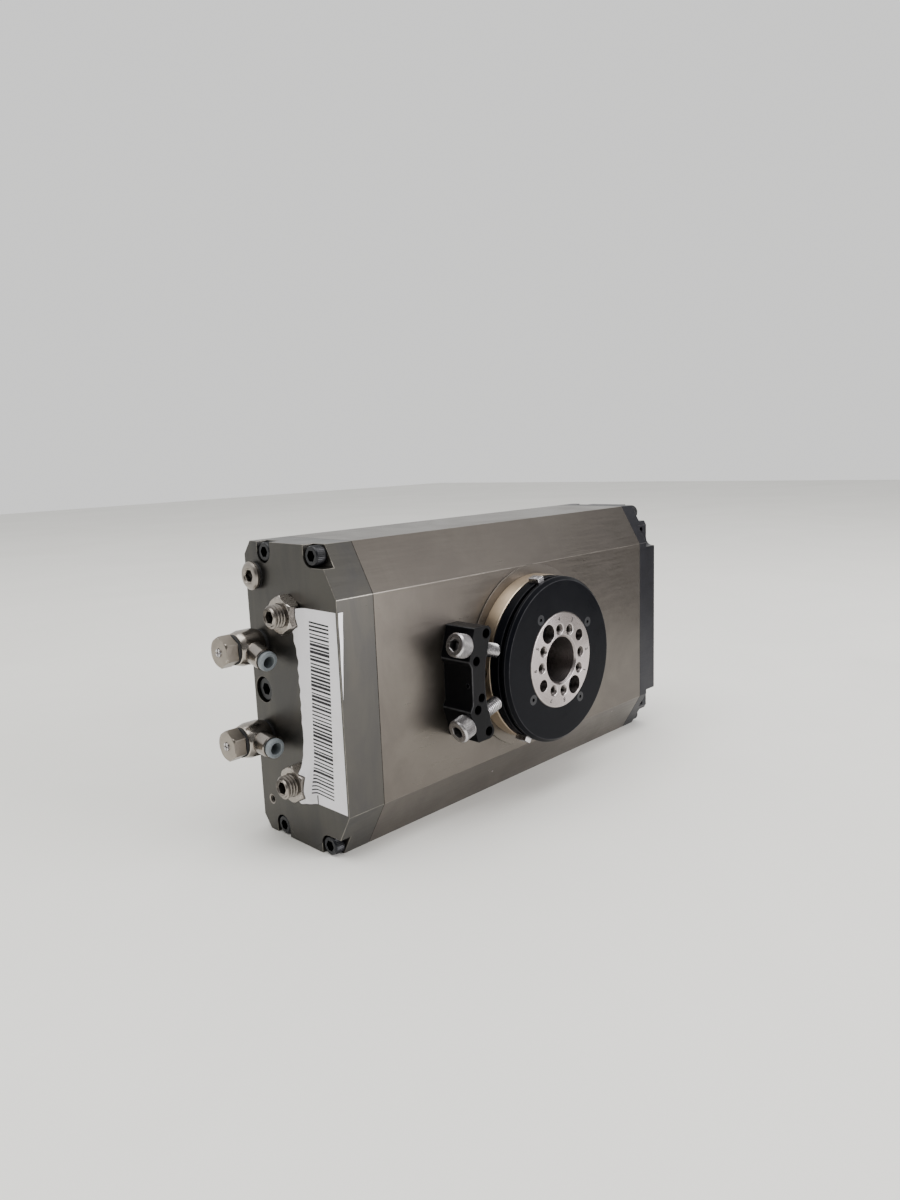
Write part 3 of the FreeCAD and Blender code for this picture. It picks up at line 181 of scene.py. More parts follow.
class Shape:
    """A mesh in the making, in millimetres about its own Z axis.

    Attributes:
        weld: distance below which vertices are one.
        lip: chamfer at the mouth of a hexagon socket.
        drill: radius of the drilled tip under a socket, as a share of the socket's corner radius.
        lip_grime: painted shade at a socket's mouth.
        groove_grime: painted shade in knurls and thread roots.
        run_in: pitches that a thread starts below its lower level.
        tooth: crest end, root start and root end of a thread, as shares of the pitch.
    """

    weld = 1e-4
    lip = 0.12
    drill = 0.3
    lip_grime = 0.45
    groove_grime = 0.8
    run_in = 1.5
    tooth = (0.1, 0.48, 0.62)

    def __init__(self) -> None:
        """Start with an empty mesh that can mark vertices with painted shade."""
        self.bm: BMesh = bmesh.new()
        self.grime = self.bm.verts.layers.float.new("grime")

    def lathe(self, profile: Profile, segments: int = 64, closed: bool = False) -> "Shape":
        """Turn a profile about the axis.

        Args:
            profile: points as (radius, level) or (radius, level, rounding).
            segments: steps round the axis.
            closed: whether the last point joins the first, as in a ring.

        Returns:
            This shape.
        """
        known = set(self.bm.verts)
        points = [self.bm.verts.new((point[0], 0.0, point[1])) for point in profile]
        pairs = list(zip(points, points[1:]))
        if closed:
            pairs.append((points[-1], points[0]))
        for pair in pairs:
            self.bm.edges.new(pair)
        roundings = {}
        for vert, point in zip(points, profile):
            if len(point) > 2:
                roundings.setdefault(point[2], []).append(vert)
        for rounding, corners in roundings.items():
            bmesh.ops.bevel(self.bm, geom=corners, offset=rounding, offset_type="OFFSET",
                            segments=ROUND_STEPS, profile=0.5, affect="VERTICES", material=-1,
                            clamp_overlap=True)
        fresh: list = [vert for vert in self.bm.verts if vert not in known]
        wire = [edge for edge in self.bm.edges if edge.verts[0] not in known]
        bmesh.ops.spin(self.bm, geom=fresh + wire, cent=(0, 0, 0), axis=(0, 0, 1), dvec=(0, 0, 0),
                       angle=tau, steps=segments, use_merge=True)
        turned = [vert for vert in self.bm.verts if vert not in known]
        bmesh.ops.remove_doubles(self.bm, verts=turned, dist=self.weld)
        return self

    def rim(self, level: float) -> list[BMEdge]:
        """Find the open edges at one level of the axis.

        Args:
            level: the level.

        Returns:
            The edges.
        """
        near = self.weld * 10
        return [edge for edge in self.bm.edges
                if edge.is_boundary and all(abs(vert.co.z - level) < near for vert in edge.verts)]

    def grow(self, edges: list[BMEdge], radius: float, level: float) -> list[BMEdge]:
        """Carry an open rim on to a circle of another radius and level.

        Args:
            edges: the open rim.
            radius: radius that the new rim gets.
            level: level that the new rim gets.

        Returns:
            The new rim.
        """
        made = bmesh.ops.extrude_edge_only(self.bm, edges=edges)["geom"]
        fresh = [item for item in made if isinstance(item, BMVert)]
        for vert in fresh:
            reach = radius / max(vert.co.xy.length, self.weld)
            vert.co = (vert.co.x * reach, vert.co.y * reach, level)
        held = set(fresh)
        return [item for item in made if isinstance(item, BMEdge) and set(item.verts) <= held]

    def hex_socket(self, edges: list[BMEdge], level: float, flats: float, depth: float) -> "Shape":
        """Close a rim with a flat ring and a hexagon socket.

        Args:
            edges: the open rim.
            level: level of the rim.
            flats: width across the socket's flats.
            depth: depth of the socket.

        Returns:
            This shape.
        """
        mouth = flats / sqrt(3)
        tip_reach = mouth * self.drill
        made = bmesh.ops.create_circle(self.bm, segments=6, radius=mouth + self.lip,
                                       matrix=Matrix.Translation((0, 0, level)))
        hexagon = list({edge for vert in made["verts"] for edge in vert.link_edges})
        bmesh.ops.bridge_loops(self.bm, edges=edges + hexagon)
        walls = self.grow(hexagon, mouth, level - self.lip)
        floor = self.grow(walls, mouth, level - depth)
        tip = self.grow(floor, tip_reach, level - depth - tip_reach)
        self.cap(tip)
        # Painted shade in the socket: part at its mouth, full further in.
        for edge in walls + floor + tip:
            for vert in edge.verts:
                vert[self.grime] = self.lip_grime if edge in walls else 1.0
        return self

    def knurl(self, radius: float, low: float, high: float, segments: int, depth: float,
              pattern: Knurl) -> "Shape":
        """Press grooves into a round side.

        Args:
            radius: radius of the side.
            low: lowest level of the band.
            high: highest level of the band.
            segments: steps round the side, as it was turned.
            depth: depth of the grooves.
            pattern: straight or diamond grooves.

        Returns:
            This shape.
        """
        near = self.weld * 100
        band = [vert for vert in self.bm.verts
                if low < vert.co.z < high and abs(vert.co.xy.length - radius) < near]
        levels = sorted({round(vert.co.z, 3) for vert in band})
        pressed = []
        for vert in band:
            column = round(atan2(vert.co.y, vert.co.x) / tau * segments)
            row = levels.index(round(vert.co.z, 3)) if pattern is Knurl.DIAMOND else 0
            if (column + row) % 2:
                pressed.append(vert)
        # The pressed vertices sink and carry painted shade in the grooves.
        for vert in pressed:
            vert.co.xy *= 1 - depth / radius
            vert[self.grime] = self.groove_grime
        if pattern is Knurl.DIAMOND:
            bmesh.ops.connect_verts(self.bm, verts=pressed)
        return self

    def thread(self, crest: float, root: float, pitch: float, low: float, high: float,
               segments: int = 40) -> "Shape":
        """Cut a screw thread between two levels, with flat rims at both ends.

        Args:
            crest: radius of the crests.
            root: radius of the roots.
            pitch: rise of one turn.
            low: lower level.
            high: upper level.
            segments: steps of one turn.

        Returns:
            This shape.
        """
        turns = ceil((high - low) / pitch) + 2
        outline = zip((crest, crest, root, root, crest), (0.0, *self.tooth, 1.0))
        known = set(self.bm.verts)
        points = [self.bm.verts.new((radius, 0.0, low + (share - self.run_in) * pitch))
                  for radius, share in outline]
        wire: list = [self.bm.edges.new(pair) for pair in zip(points, points[1:])]
        bmesh.ops.spin(self.bm, geom=points + wire, cent=(0, 0, 0), axis=(0, 0, 1),
                       dvec=(0, 0, pitch / segments), angle=tau * turns, steps=segments * turns)
        cut = [vert for vert in self.bm.verts if vert not in known]
        bmesh.ops.remove_doubles(self.bm, verts=cut, dist=self.weld * 20)
        # Painted shade in the thread's roots.
        for vert in self.bm.verts:
            if vert not in known and abs(vert.co.xy.length - root) < abs(crest - root) / 2:
                vert[self.grime] = self.groove_grime
        for level, way in ((low, -1), (high, 1)):
            own = [vert for vert in self.bm.verts if vert not in known]
            geometry = own + list({edge for vert in own for edge in vert.link_edges})
            geometry += list({face for vert in own for face in vert.link_faces})
            bmesh.ops.bisect_plane(self.bm, geom=geometry, dist=self.weld, plane_co=(0, 0, level),
                                   plane_no=(0, 0, way), clear_outer=True)
        return self

    def cap(self, edges: list[BMEdge]) -> "Shape":
        """Close a rim with one flat face."""
        bmesh.ops.edgeloop_fill(self.bm, edges=edges)
        return self

    def outward(self) -> "Shape":
        """Turn all faces outwards."""
        bmesh.ops.recalc_face_normals(self.bm, faces=self.bm.faces[:])
        return self


class Canvas:
    """Adds and links the nodes of one shader tree."""

    def __init__(self, tree: NodeTree) -> None:
        """Keep the tree that nodes are added to."""
        self.tree = tree

    def add(self, kind: str, inputs: dict[str | int, object] | None = None, **settings: object) -> Node:
        """Add a node, with its settings and its inputs.

        Args:
            kind: Blender's name of the node type.
            inputs: a value or another node's output for each named socket.
            settings: properties of the node itself.

        Returns:
            The new node.
        """
        node = self.tree.nodes.new(kind)
        for name, value in settings.items():
            setattr(node, name, value)
        for key, value in (inputs or {}).items():
            if isinstance(value, NodeSocket):
                self.tree.links.new(value, node.inputs[key])
            else:
                node.inputs[key].default_value = value
        return node

    def mix(self, share: NodeSocket, first: object, second: object) -> NodeSocket:
        """Blend two colours by a mask, which is zero for the first."""
        return self.add("ShaderNodeMix", {0: share, 6: first, 7: second}, data_type="RGBA").outputs[2]

    def ramp(self, value: NodeSocket, low: object, high: object, start: object = 0.0,
             end: object = 1.0) -> NodeSocket:
        """Map a value smoothly from one range to another.

        Args:
            value: the value to map.
            low: value that gives the start.
            high: value that gives the end.
            start: result at the low value.
            end: result at the high value.

        Returns:
            The mapped value.
        """
        inputs = {"Value": value, "From Min": low, "From Max": high, "To Min": start, "To Max": end}
        return self.add("ShaderNodeMapRange", inputs, interpolation_type="SMOOTHSTEP").outputs[0]

    def maths(self, operation: str, *values: object) -> NodeSocket:
        """Work out one step of arithmetic on values or sockets."""
        return self.add("ShaderNodeMath", dict(enumerate(values)), operation=operation).outputs[0]

    def stretch(self, vector: NodeSocket, factors: Point) -> NodeSocket:
        """Stretch coordinates along each axis."""
        return self.add("ShaderNodeVectorMath", {0: vector, 1: factors}, operation="MULTIPLY").outputs[0]

    def noise(self, vector: NodeSocket, scale: object, detail: float, roughness: float,
              distortion: float = 0.0) -> NodeSocket:
        """Give a cloudy pattern.

        Args:
            vector: coordinates.
            scale: fineness of the pattern.
            detail: number of finer layers.
            roughness: strength of the finer layers.
            distortion: how far the pattern is stirred.

        Returns:
            The pattern's value, 0 to 1.
        """
        inputs = {"Vector": vector, "Scale": scale, "Detail": detail, "Roughness": roughness,
                  "Distortion": distortion}
        return self.add("ShaderNodeTexNoise", inputs).outputs[0]

    def mark(self, name: str, output: str = "Fac") -> NodeSocket:
        """Read a mark that the piece carries at its vertices."""
        return self.add("ShaderNodeAttribute", attribute_name=name).outputs[output]


class EffectLibrary:
    """Builds each shared surface effect once and hands it out."""

    def tree(self, effect: Effect) -> NodeTree:
        """Give the node group of an effect, built on first use."""
        found = bpy.data.node_groups.get(effect.value)
        return found or getattr(self, effect.value)(effect.value)

    def start(self, name: str, numbers: dict[str, float],
              output: str) -> tuple[Canvas, dict[str, NodeSocket]]:
        """Start a group with a vector input, further numbers and one output.

        Args:
            name: name of the group.
            numbers: further inputs with their usual values.
            output: name of the output.

        Returns:
            The group's canvas, and the sockets that carry its inputs.
        """
        tree = bpy.data.node_groups.new(name, "ShaderNodeTree")
        tree.interface.new_socket(name="Vector", in_out="INPUT", socket_type="NodeSocketVector")
        for number, usual in numbers.items():
            item = tree.interface.new_socket(name=number, in_out="INPUT", socket_type="NodeSocketFloat")
            item.default_value = usual
        tree.interface.new_socket(name=output, in_out="OUTPUT", socket_type="NodeSocketFloat")
        canvas = Canvas(tree)
        given = canvas.add("NodeGroupInput")
        return canvas, {key: given.outputs[key] for key in ("Vector", *numbers)}

    def end(self, canvas: Canvas, value: NodeSocket) -> NodeTree:
        """Link a group's one output and give the group."""
        canvas.add("NodeGroupOutput", {0: value})
        return canvas.tree

    def cast_grain(self, name: str) -> NodeTree:
        """Even fine grain, as on plating, plastic and blasted metal."""
        canvas, given = self.start(name, {"Scale": 900.0}, "Height")
        return self.end(canvas, canvas.noise(given["Vector"], given["Scale"], detail=4.0, roughness=0.6))

    def milled_grain(self, name: str) -> NodeTree:
        """Fine lines along the unit, broken by a softer cloud.

        Args:
            name: name of the group.

        Returns:
            The node group.
        """
        line_share = 0.6
        along_unit = (0.03, 1.0, 1.0)
        canvas, given = self.start(name, {"Scale": 900.0}, "Height")
        drawn = canvas.stretch(given["Vector"], along_unit)
        lines = canvas.noise(drawn, given["Scale"], detail=3.0, roughness=0.6)
        cloud = canvas.noise(given["Vector"], given["Scale"], detail=3.0, roughness=0.7)
        cloud = canvas.maths("MULTIPLY", cloud, 1.0 - line_share)
        return self.end(canvas, canvas.maths("MULTIPLY_ADD", lines, line_share, cloud))

    def turned_grain(self, name: str) -> NodeTree:
        """Rings about the piece's own axis, as a lathe leaves them.

        Args:
            name: name of the group.

        Returns:
            The node group.
        """
        canvas, given = self.start(name, {"Scale": 5.0}, "Height")
        parts = canvas.add("ShaderNodeSeparateXYZ", {0: given["Vector"]})
        flat = canvas.add("ShaderNodeCombineXYZ", {0: parts.outputs[0], 1: parts.outputs[1]})
        reach = canvas.add("ShaderNodeVectorMath", {0: flat.outputs[0]}, operation="LENGTH")
        place = canvas.maths("ADD", reach.outputs["Value"], parts.outputs[2])
        inputs = {"W": place, "Scale": given["Scale"], "Detail": 3.0, "Roughness": 0.7}
        return self.end(canvas, canvas.add("ShaderNodeTexNoise", inputs, noise_dimensions="1D").outputs[0])

    def handling_stains(self, name: str) -> NodeTree:
        """Soft uneven patches, as oil and hands leave them.

        Args:
            name: name of the group.

        Returns:
            The node group.
        """
        softness = 0.16
        canvas, given = self.start(name, {"Scale": 30.0, "Share": 0.5}, "Mask")
        cloud = canvas.noise(given["Vector"], given["Scale"], detail=5.0, roughness=0.62, distortion=0.7)
        edge = canvas.maths("SUBTRACT", 1.0, given["Share"])
        return self.end(canvas, canvas.ramp(cloud, canvas.maths("SUBTRACT", edge, softness),
                                            canvas.maths("ADD", edge, softness)))

    def edge_wear(self, name: str) -> NodeTree:
        """Rubbed edges and painted edge highlights, broken by noise, where a piece's mark for them is high.

        Args:
            name: name of the group.

        Returns:
            The node group.
        """
        canvas, given = self.start(name, {"Edge": 0.0, "Amount": 0.5}, "Mask")
        cloud = canvas.noise(given["Vector"], 220.0, detail=5.0, roughness=0.65)
        rubbed = canvas.maths("MULTIPLY", given["Edge"], given["Amount"])
        breaks = canvas.ramp(cloud, low=0.3, high=0.62, start=0.4)
        return self.end(canvas, canvas.maths("MULTIPLY", rubbed, breaks))

    def settled_grime(self, name: str) -> NodeTree:
        """Painted shade in recesses, sockets, knurl grooves, thread roots and holes, and dark grime in
        joints, where a piece's mark for them is high.

        Args:
            name: name of the group.

        Returns:
            The node group.
        """
        canvas, given = self.start(name, {"Depth": 0.0}, "Mask")
        cloud = canvas.noise(given["Vector"], 500.0, detail=3.0, roughness=0.5)
        uneven = canvas.ramp(cloud, low=0.3, high=0.7, start=0.75)
        return self.end(canvas, canvas.maths("MULTIPLY", given["Depth"], uneven))

    def dust_specks(self, name: str) -> NodeTree:
        """Scattered small specks of dust or lint.

        Args:
            name: name of the group.

        Returns:
            The node group.
        """
        largest = 0.16
        canvas, given = self.start(name, {"Scale": 260.0, "Share": 0.3}, "Mask")
        cells = canvas.add("ShaderNodeTexVoronoi", {"Vector": given["Vector"], "Scale": given["Scale"]})
        pick = canvas.add("ShaderNodeSeparateColor", {0: cells.outputs["Color"]})
        chosen = canvas.maths("LESS_THAN", pick.outputs[0], given["Share"])
        size = canvas.maths("MULTIPLY", pick.outputs[1], largest)
        dot = canvas.maths("LESS_THAN", cells.outputs["Distance"], size)
        return self.end(canvas, canvas.maths("MULTIPLY", chosen, dot))


EFFECTS = EffectLibrary()


@dataclass(frozen=True)
class Finish:
    """A finish on metal, plastic or rubber.

    Attributes:
        name: name of the material.
        slot: the record's material slot.
        colour: main colour.
        stain: colour of the stained patches.
        worn: colour of rubbed edges and of painted edge highlights.
        metallic: share of metal.
        roughness: middle of the roughness.
        spread: how far the grain moves the roughness.
        grain: kind of grain.
        grain_scale: fineness of the grain.
        grain_depth: depth of the grain, in millimetres.
        grain_range: grain heights that give the lowest and the highest roughness.
        stain_scale: fineness of the stains.
        stain_share: share of the surface that is stained.
        stain_shine: how far a stain moves the roughness.
        wear: amount of edge wear and painted edge highlight.
        streak: stretch of the stains along each axis.
        specks: share of cells that hold a speck of dust.
        dust: colour of the specks.
        grime: colour of the painted shade in recesses and of the grime in joints.
        grime_dull: how far the grime and painted shade raise the roughness.
        specular: strength of the gloss on what isn't metal.
        lathe_sheen: how far gloss spreads across the rings of a turned face.
    """

    name: str
    slot: str
    colour: Colour
    stain: Colour
    worn: Colour
    metallic: float = 1.0
    roughness: float = 0.35
    spread: float = 0.06
    grain: Effect = Effect.CAST_GRAIN
    grain_scale: float = 900.0
    grain_depth: float = 0.004
    grain_range: tuple[float, float] = (0.25, 0.75)
    stain_scale: float = 30.0
    stain_share: float = 0.5
    stain_shine: float = 0.06
    wear: float = 0.5
    streak: Point = (1.0, 1.0, 1.0)
    specks: float = 0.0
    dust: Colour = (190, 187, 180)
    grime: Colour = (30, 28, 26)
    grime_dull: float = 0.2
    specular: float = 0.5
    lathe_sheen: float = 0.0

    def material(self) -> Material:
        """Give the finish's material.

        Returns:
            The material, built on first use.
        """
        found = bpy.data.materials.get(self.name)
        if found:
            return found
        made = bpy.data.materials.new(self.name)
        made.use_nodes = True
        made.node_tree.nodes.clear()
        canvas = Canvas(made.node_tree)
        place = canvas.add("ShaderNodeTexCoord").outputs["Object"]
        own = canvas.mark("local", "Vector") if self.grain is Effect.TURNED_GRAIN else place
        height = self.effect(canvas, self.grain, {"Vector": own, "Scale": self.grain_scale})
        drawn = canvas.stretch(place, self.streak)
        stain = self.effect(canvas, Effect.STAINS, {"Vector": drawn, "Scale": self.stain_scale,
                                                    "Share": self.stain_share})
        # Mask of the painted shade in recesses, sockets and holes, and of the grime in joints.
        grime = self.effect(canvas, Effect.GRIME, {"Vector": place, "Depth": canvas.mark("grime")})
        colour = self.colours(canvas, place, stain, grime)
        gloss = canvas.ramp(height, *self.grain_range, start=self.roughness - self.spread,
                            end=self.roughness + self.spread)
        gloss = canvas.maths("MULTIPLY_ADD", stain, self.stain_shine, gloss)
        gloss = canvas.maths("MULTIPLY_ADD", grime, self.grime_dull, gloss)
        bump = canvas.add("ShaderNodeBump", {"Height": height, "Distance": self.grain_depth * MM,
                                             "Strength": 1.0})
        shader = canvas.add("ShaderNodeBsdfPrincipled", {"Base Color": colour, "Roughness": gloss,
                                                         "Metallic": self.metallic,
                                                         "Specular IOR Level": self.specular,
                                                         "Normal": bump.outputs[0]})
        if self.lathe_sheen:
            quarter_turn = 0.25
            rings = canvas.add("ShaderNodeTangent", direction_type="RADIAL", axis="Y")
            shader.inputs["Anisotropic"].default_value = self.lathe_sheen
            shader.inputs["Anisotropic Rotation"].default_value = quarter_turn
            canvas.tree.links.new(rings.outputs[0], shader.inputs["Tangent"])
        canvas.add("ShaderNodeOutputMaterial", {"Surface": shader.outputs[0]})
        return made

    def colours(self, canvas: Canvas, place: NodeSocket, stain: NodeSocket, grime: NodeSocket) -> NodeSocket:
        """Lay the colours of stains, pattern, edge wear with painted edge highlights, dust, and grime with
        painted recess shade over each other.

        Args:
            canvas: the material's canvas.
            place: coordinates on the unit.
            stain: mask of the stains.
            grime: mask of the painted shade in recesses and of the grime in joints.

        Returns:
            The finished colour.
        """
        # Lighter rounded edges: edge wear and painted edge highlights.
        worn = self.effect(canvas, Effect.EDGE_WEAR, {"Vector": place, "Edge": canvas.mark("wear"),
                                                      "Amount": self.wear})
        colour = self.pattern(canvas, canvas.mix(stain, tone(*self.colour), tone(*self.stain)))
        colour = canvas.mix(worn, colour, tone(*self.worn))
        if self.specks:
            specks = self.effect(canvas, Effect.SPECKS, {"Vector": place, "Share": self.specks})
            colour = canvas.mix(specks, colour, tone(*self.dust))
        # Lay the painted recess shade and the joint grime over the colour.
        return canvas.mix(grime, colour, tone(*self.grime))

    def effect(self, canvas: Canvas, effect: Effect, inputs: dict[str, object]) -> NodeSocket:
        """Place a shared effect in the material and give its output."""
        return canvas.add("ShaderNodeGroup", node_tree=EFFECTS.tree(effect), inputs=inputs).outputs[0]

    def pattern(self, canvas: Canvas, colour: NodeSocket) -> NodeSocket:
        """Give the colour with any pattern of the finish; plain here."""
        return colour


@dataclass(frozen=True)
class LabelPaper(Finish):
    """White label paper with plain bars.

    Attributes:
        ink: colour of the bars.
        bar_step: distance between bars, in millimetres.
        bar_least: width of the thinnest bar, as a share of the step.
        bar_spread: how much wider the widest bar is.
        bar_group: distance between wider gaps.
        group_share: share of a group that holds bars.
        bar_low: lowest level of the bars on the label.
        bar_high: highest level of the bars.
        bar_left: left end of the bars.
        bar_right: right end of the bars.
        bar_lean: slope of the print on the label.
    """

    ink: Colour = (22, 22, 26)
    bar_step: float = 1.9
    bar_least: float = 0.35
    bar_spread: float = 0.45
    bar_group: float = 9.5
    group_share: float = 0.9
    bar_low: float = -46.0
    bar_high: float = 45.0
    bar_left: float = -7.5
    bar_right: float = 8.0
    bar_lean: float = 0.046

    def pattern(self, canvas: Canvas, colour: NodeSocket) -> NodeSocket:
        """Give the paper's colour with its plain bars.

        Args:
            canvas: the material's canvas.
            colour: colour of the bare paper.

        Returns:
            The colour with the bars.
        """
        parts = canvas.add("ShaderNodeSeparateXYZ", {0: canvas.mark("local", "Vector")})
        across = canvas.maths("MULTIPLY_ADD", parts.outputs[1], -self.bar_lean, parts.outputs[0])
        along = canvas.maths("MULTIPLY_ADD", parts.outputs[0], self.bar_lean, parts.outputs[1])
        row = canvas.maths("DIVIDE", along, self.bar_step)
        chance = canvas.add("ShaderNodeTexWhiteNoise", {"W": canvas.maths("FLOOR", row)},
                            noise_dimensions="1D").outputs["Value"]
        width = canvas.maths("MULTIPLY_ADD", chance, self.bar_spread, self.bar_least)
        mask = canvas.maths("LESS_THAN", canvas.maths("FRACT", row), width)
        gap = canvas.maths("FRACT", canvas.maths("DIVIDE", along, self.bar_group))
        mask = canvas.maths("MULTIPLY", mask, canvas.maths("LESS_THAN", gap, self.group_share))
        for part, low, high in ((along, self.bar_low, self.bar_high),
                                (across, self.bar_left, self.bar_right)):
            mask = canvas.maths("MULTIPLY", mask, canvas.maths("GREATER_THAN", part, low))
            mask = canvas.maths("MULTIPLY", mask, canvas.maths("LESS_THAN", part, high))
        return canvas.mix(mask, colour, tone(*self.ink))


HOUSING = Finish("olive_housing", "housing_anodised", (97, 92, 86), (88, 83, 78), (205, 198, 186),
                 metallic=0.85, roughness=0.31, grain=Effect.MILLED_GRAIN, grain_scale=1400.0,
                 grain_depth=0.003, stain_scale=20.0, wear=0.12, specks=0.004)
NEAR_CAP = Finish("dark_olive_cap", "near_cap_anodised", (76, 74, 70), (67, 66, 65), (200, 194, 182),
                  metallic=0.85, roughness=0.32, grain=Effect.MILLED_GRAIN, grain_scale=1400.0,
                  grain_depth=0.003, stain_scale=40.0, wear=0.3, streak=(1.0, 1.0, 0.2), specks=0.004)
FAR_CAP = Finish("dark_grey_cap", "far_cap_anodised", (42, 42, 46), (38, 38, 43), (104, 102, 102),
                 metallic=0.8, roughness=0.38, grain=Effect.MILLED_GRAIN, grain_scale=1400.0,
                 grain_depth=0.003, stain_scale=26.0, wear=0.4)
GOLD = Finish("satin_gold_cover", "cover_gold", (186, 168, 145), (170, 153, 132), (222, 208, 186),
              roughness=0.34, grain=Effect.TURNED_GRAIN, grain_scale=5.0, grain_depth=0.006,
              stain_scale=35.0, wear=0.6, lathe_sheen=0.8)
BLACK_RING = Finish("black_cam_ring", "black_anodised", (9, 10, 14), (12, 13, 17), (74, 74, 77),
                    metallic=0.0, roughness=0.32, grain=Effect.TURNED_GRAIN, grain_scale=4.0,
                    wear=0.4, specular=0.05)
BLACK_BRACKET = Finish("black_bracket", "black_anodised", (10, 10, 12), (14, 14, 16), (96, 96, 98),
                       metallic=0.0, roughness=0.34, grain_scale=1600.0, grain_depth=0.006,
                       specular=0.08)
FLANGE = Finish("turned_flange", "flange_steel", (172, 164, 164), (156, 148, 147), (210, 205, 202),
                roughness=0.24, grain=Effect.TURNED_GRAIN, grain_scale=5.0, grain_depth=0.018,
                grime=(30, 28, 20), lathe_sheen=0.8)
BLACK_STEEL = Finish("black_oxide_screws", "black_steel", (20, 22, 28), (26, 27, 31), (80, 80, 86),
                     metallic=0.4, roughness=0.3, grain_scale=1500.0, grime=(8, 8, 9))
BRIGHT_STEEL = Finish("bright_zinc_steel", "bright_steel", (204, 202, 204), (184, 181, 182),
                      (224, 222, 222), roughness=0.24, grain=Effect.TURNED_GRAIN, grain_scale=6.0,
                      grain_depth=0.005, wear=0.4)
NICKEL = Finish("polished_nickel", "nickel_plate", (154, 148, 142), (142, 136, 129), (196, 189, 178),
                roughness=0.2, spread=0.03, grain_scale=1300.0, grain_depth=0.0015, stain_scale=60.0)
SATIN_NICKEL = Finish("brushed_nickel", "nickel_plate", (150, 143, 134), (138, 131, 122), (204, 197, 188),
                      roughness=0.31, spread=0.05, grain_scale=1300.0, grain_depth=0.003,
                      stain_scale=60.0)
DULL_STEEL = Finish("dull_zinc_steel", "bright_steel", (160, 154, 148), (148, 142, 135), (206, 200, 193),
                    roughness=0.27, spread=0.05, grain_scale=1300.0, grain_depth=0.003,
                    stain_scale=60.0)
BEARING = Finish("ground_bearing_steel", "bearing_steel", (180, 180, 184), (166, 166, 170),
                 (204, 204, 208), roughness=0.2, spread=0.04, grain_depth=0.002)
RUBBER = Finish("moulded_rubber", "rubber_black", (20, 20, 22), (28, 28, 29), (46, 46, 48),
                metallic=0.0, roughness=0.62, grain_scale=1800.0, grain_depth=0.01)
PISTON = Finish("machined_piston", "piston_aluminium", (176, 176, 180), (160, 160, 164), (206, 206, 210),
                roughness=0.32, grain=Effect.MILLED_GRAIN, grain_scale=1200.0)
GUIDE = Finish("brown_guide_band", "guide_plastic", (82, 66, 48), (70, 56, 42), (110, 94, 74),
               metallic=0.0, roughness=0.5, grain_depth=0.008)
COLLAR = Finish("grey_collar", "collar_plastic", (132, 139, 144), (120, 127, 132), (150, 156, 160),
                metallic=0.0, roughness=0.42, grain_scale=1500.0, grain_depth=0.006)
PAPER = LabelPaper("label_paper", "paper", (236, 234, 238), (226, 223, 225), (240, 240, 240),
                   metallic=0.0, roughness=0.7, grain_scale=700.0, grain_depth=0.02, stain_scale=60.0,
                   stain_share=0.35)
INK = Finish("stamped_digits", "flange_steel", (36, 34, 34), (30, 28, 28), (90, 86, 84),
             metallic=0.0, roughness=0.6)
# A dark sheet seen only in reflections: painted reflection shade.
GLOSS_SHADE_SHEET = Finish("gloss_shade_sheet", "paper", (20, 20, 20), (26, 26, 26), (20, 20, 20),
                    metallic=0.0, roughness=0.9)
PALE_FLOOR = Finish("pale_floor", "paper", (240, 239, 234), (236, 235, 230), (240, 239, 234),
                    metallic=0.0, roughness=0.6, stain_scale=3.0)

SLOT_FINISHES = {finish.slot: finish for finish in (
    PAPER, COLLAR, GUIDE, PISTON, RUBBER, BEARING, NICKEL, BRIGHT_STEEL, BLACK_STEEL, FLANGE, BLACK_RING,
    GOLD, FAR_CAP, NEAR_CAP, HOUSING)}


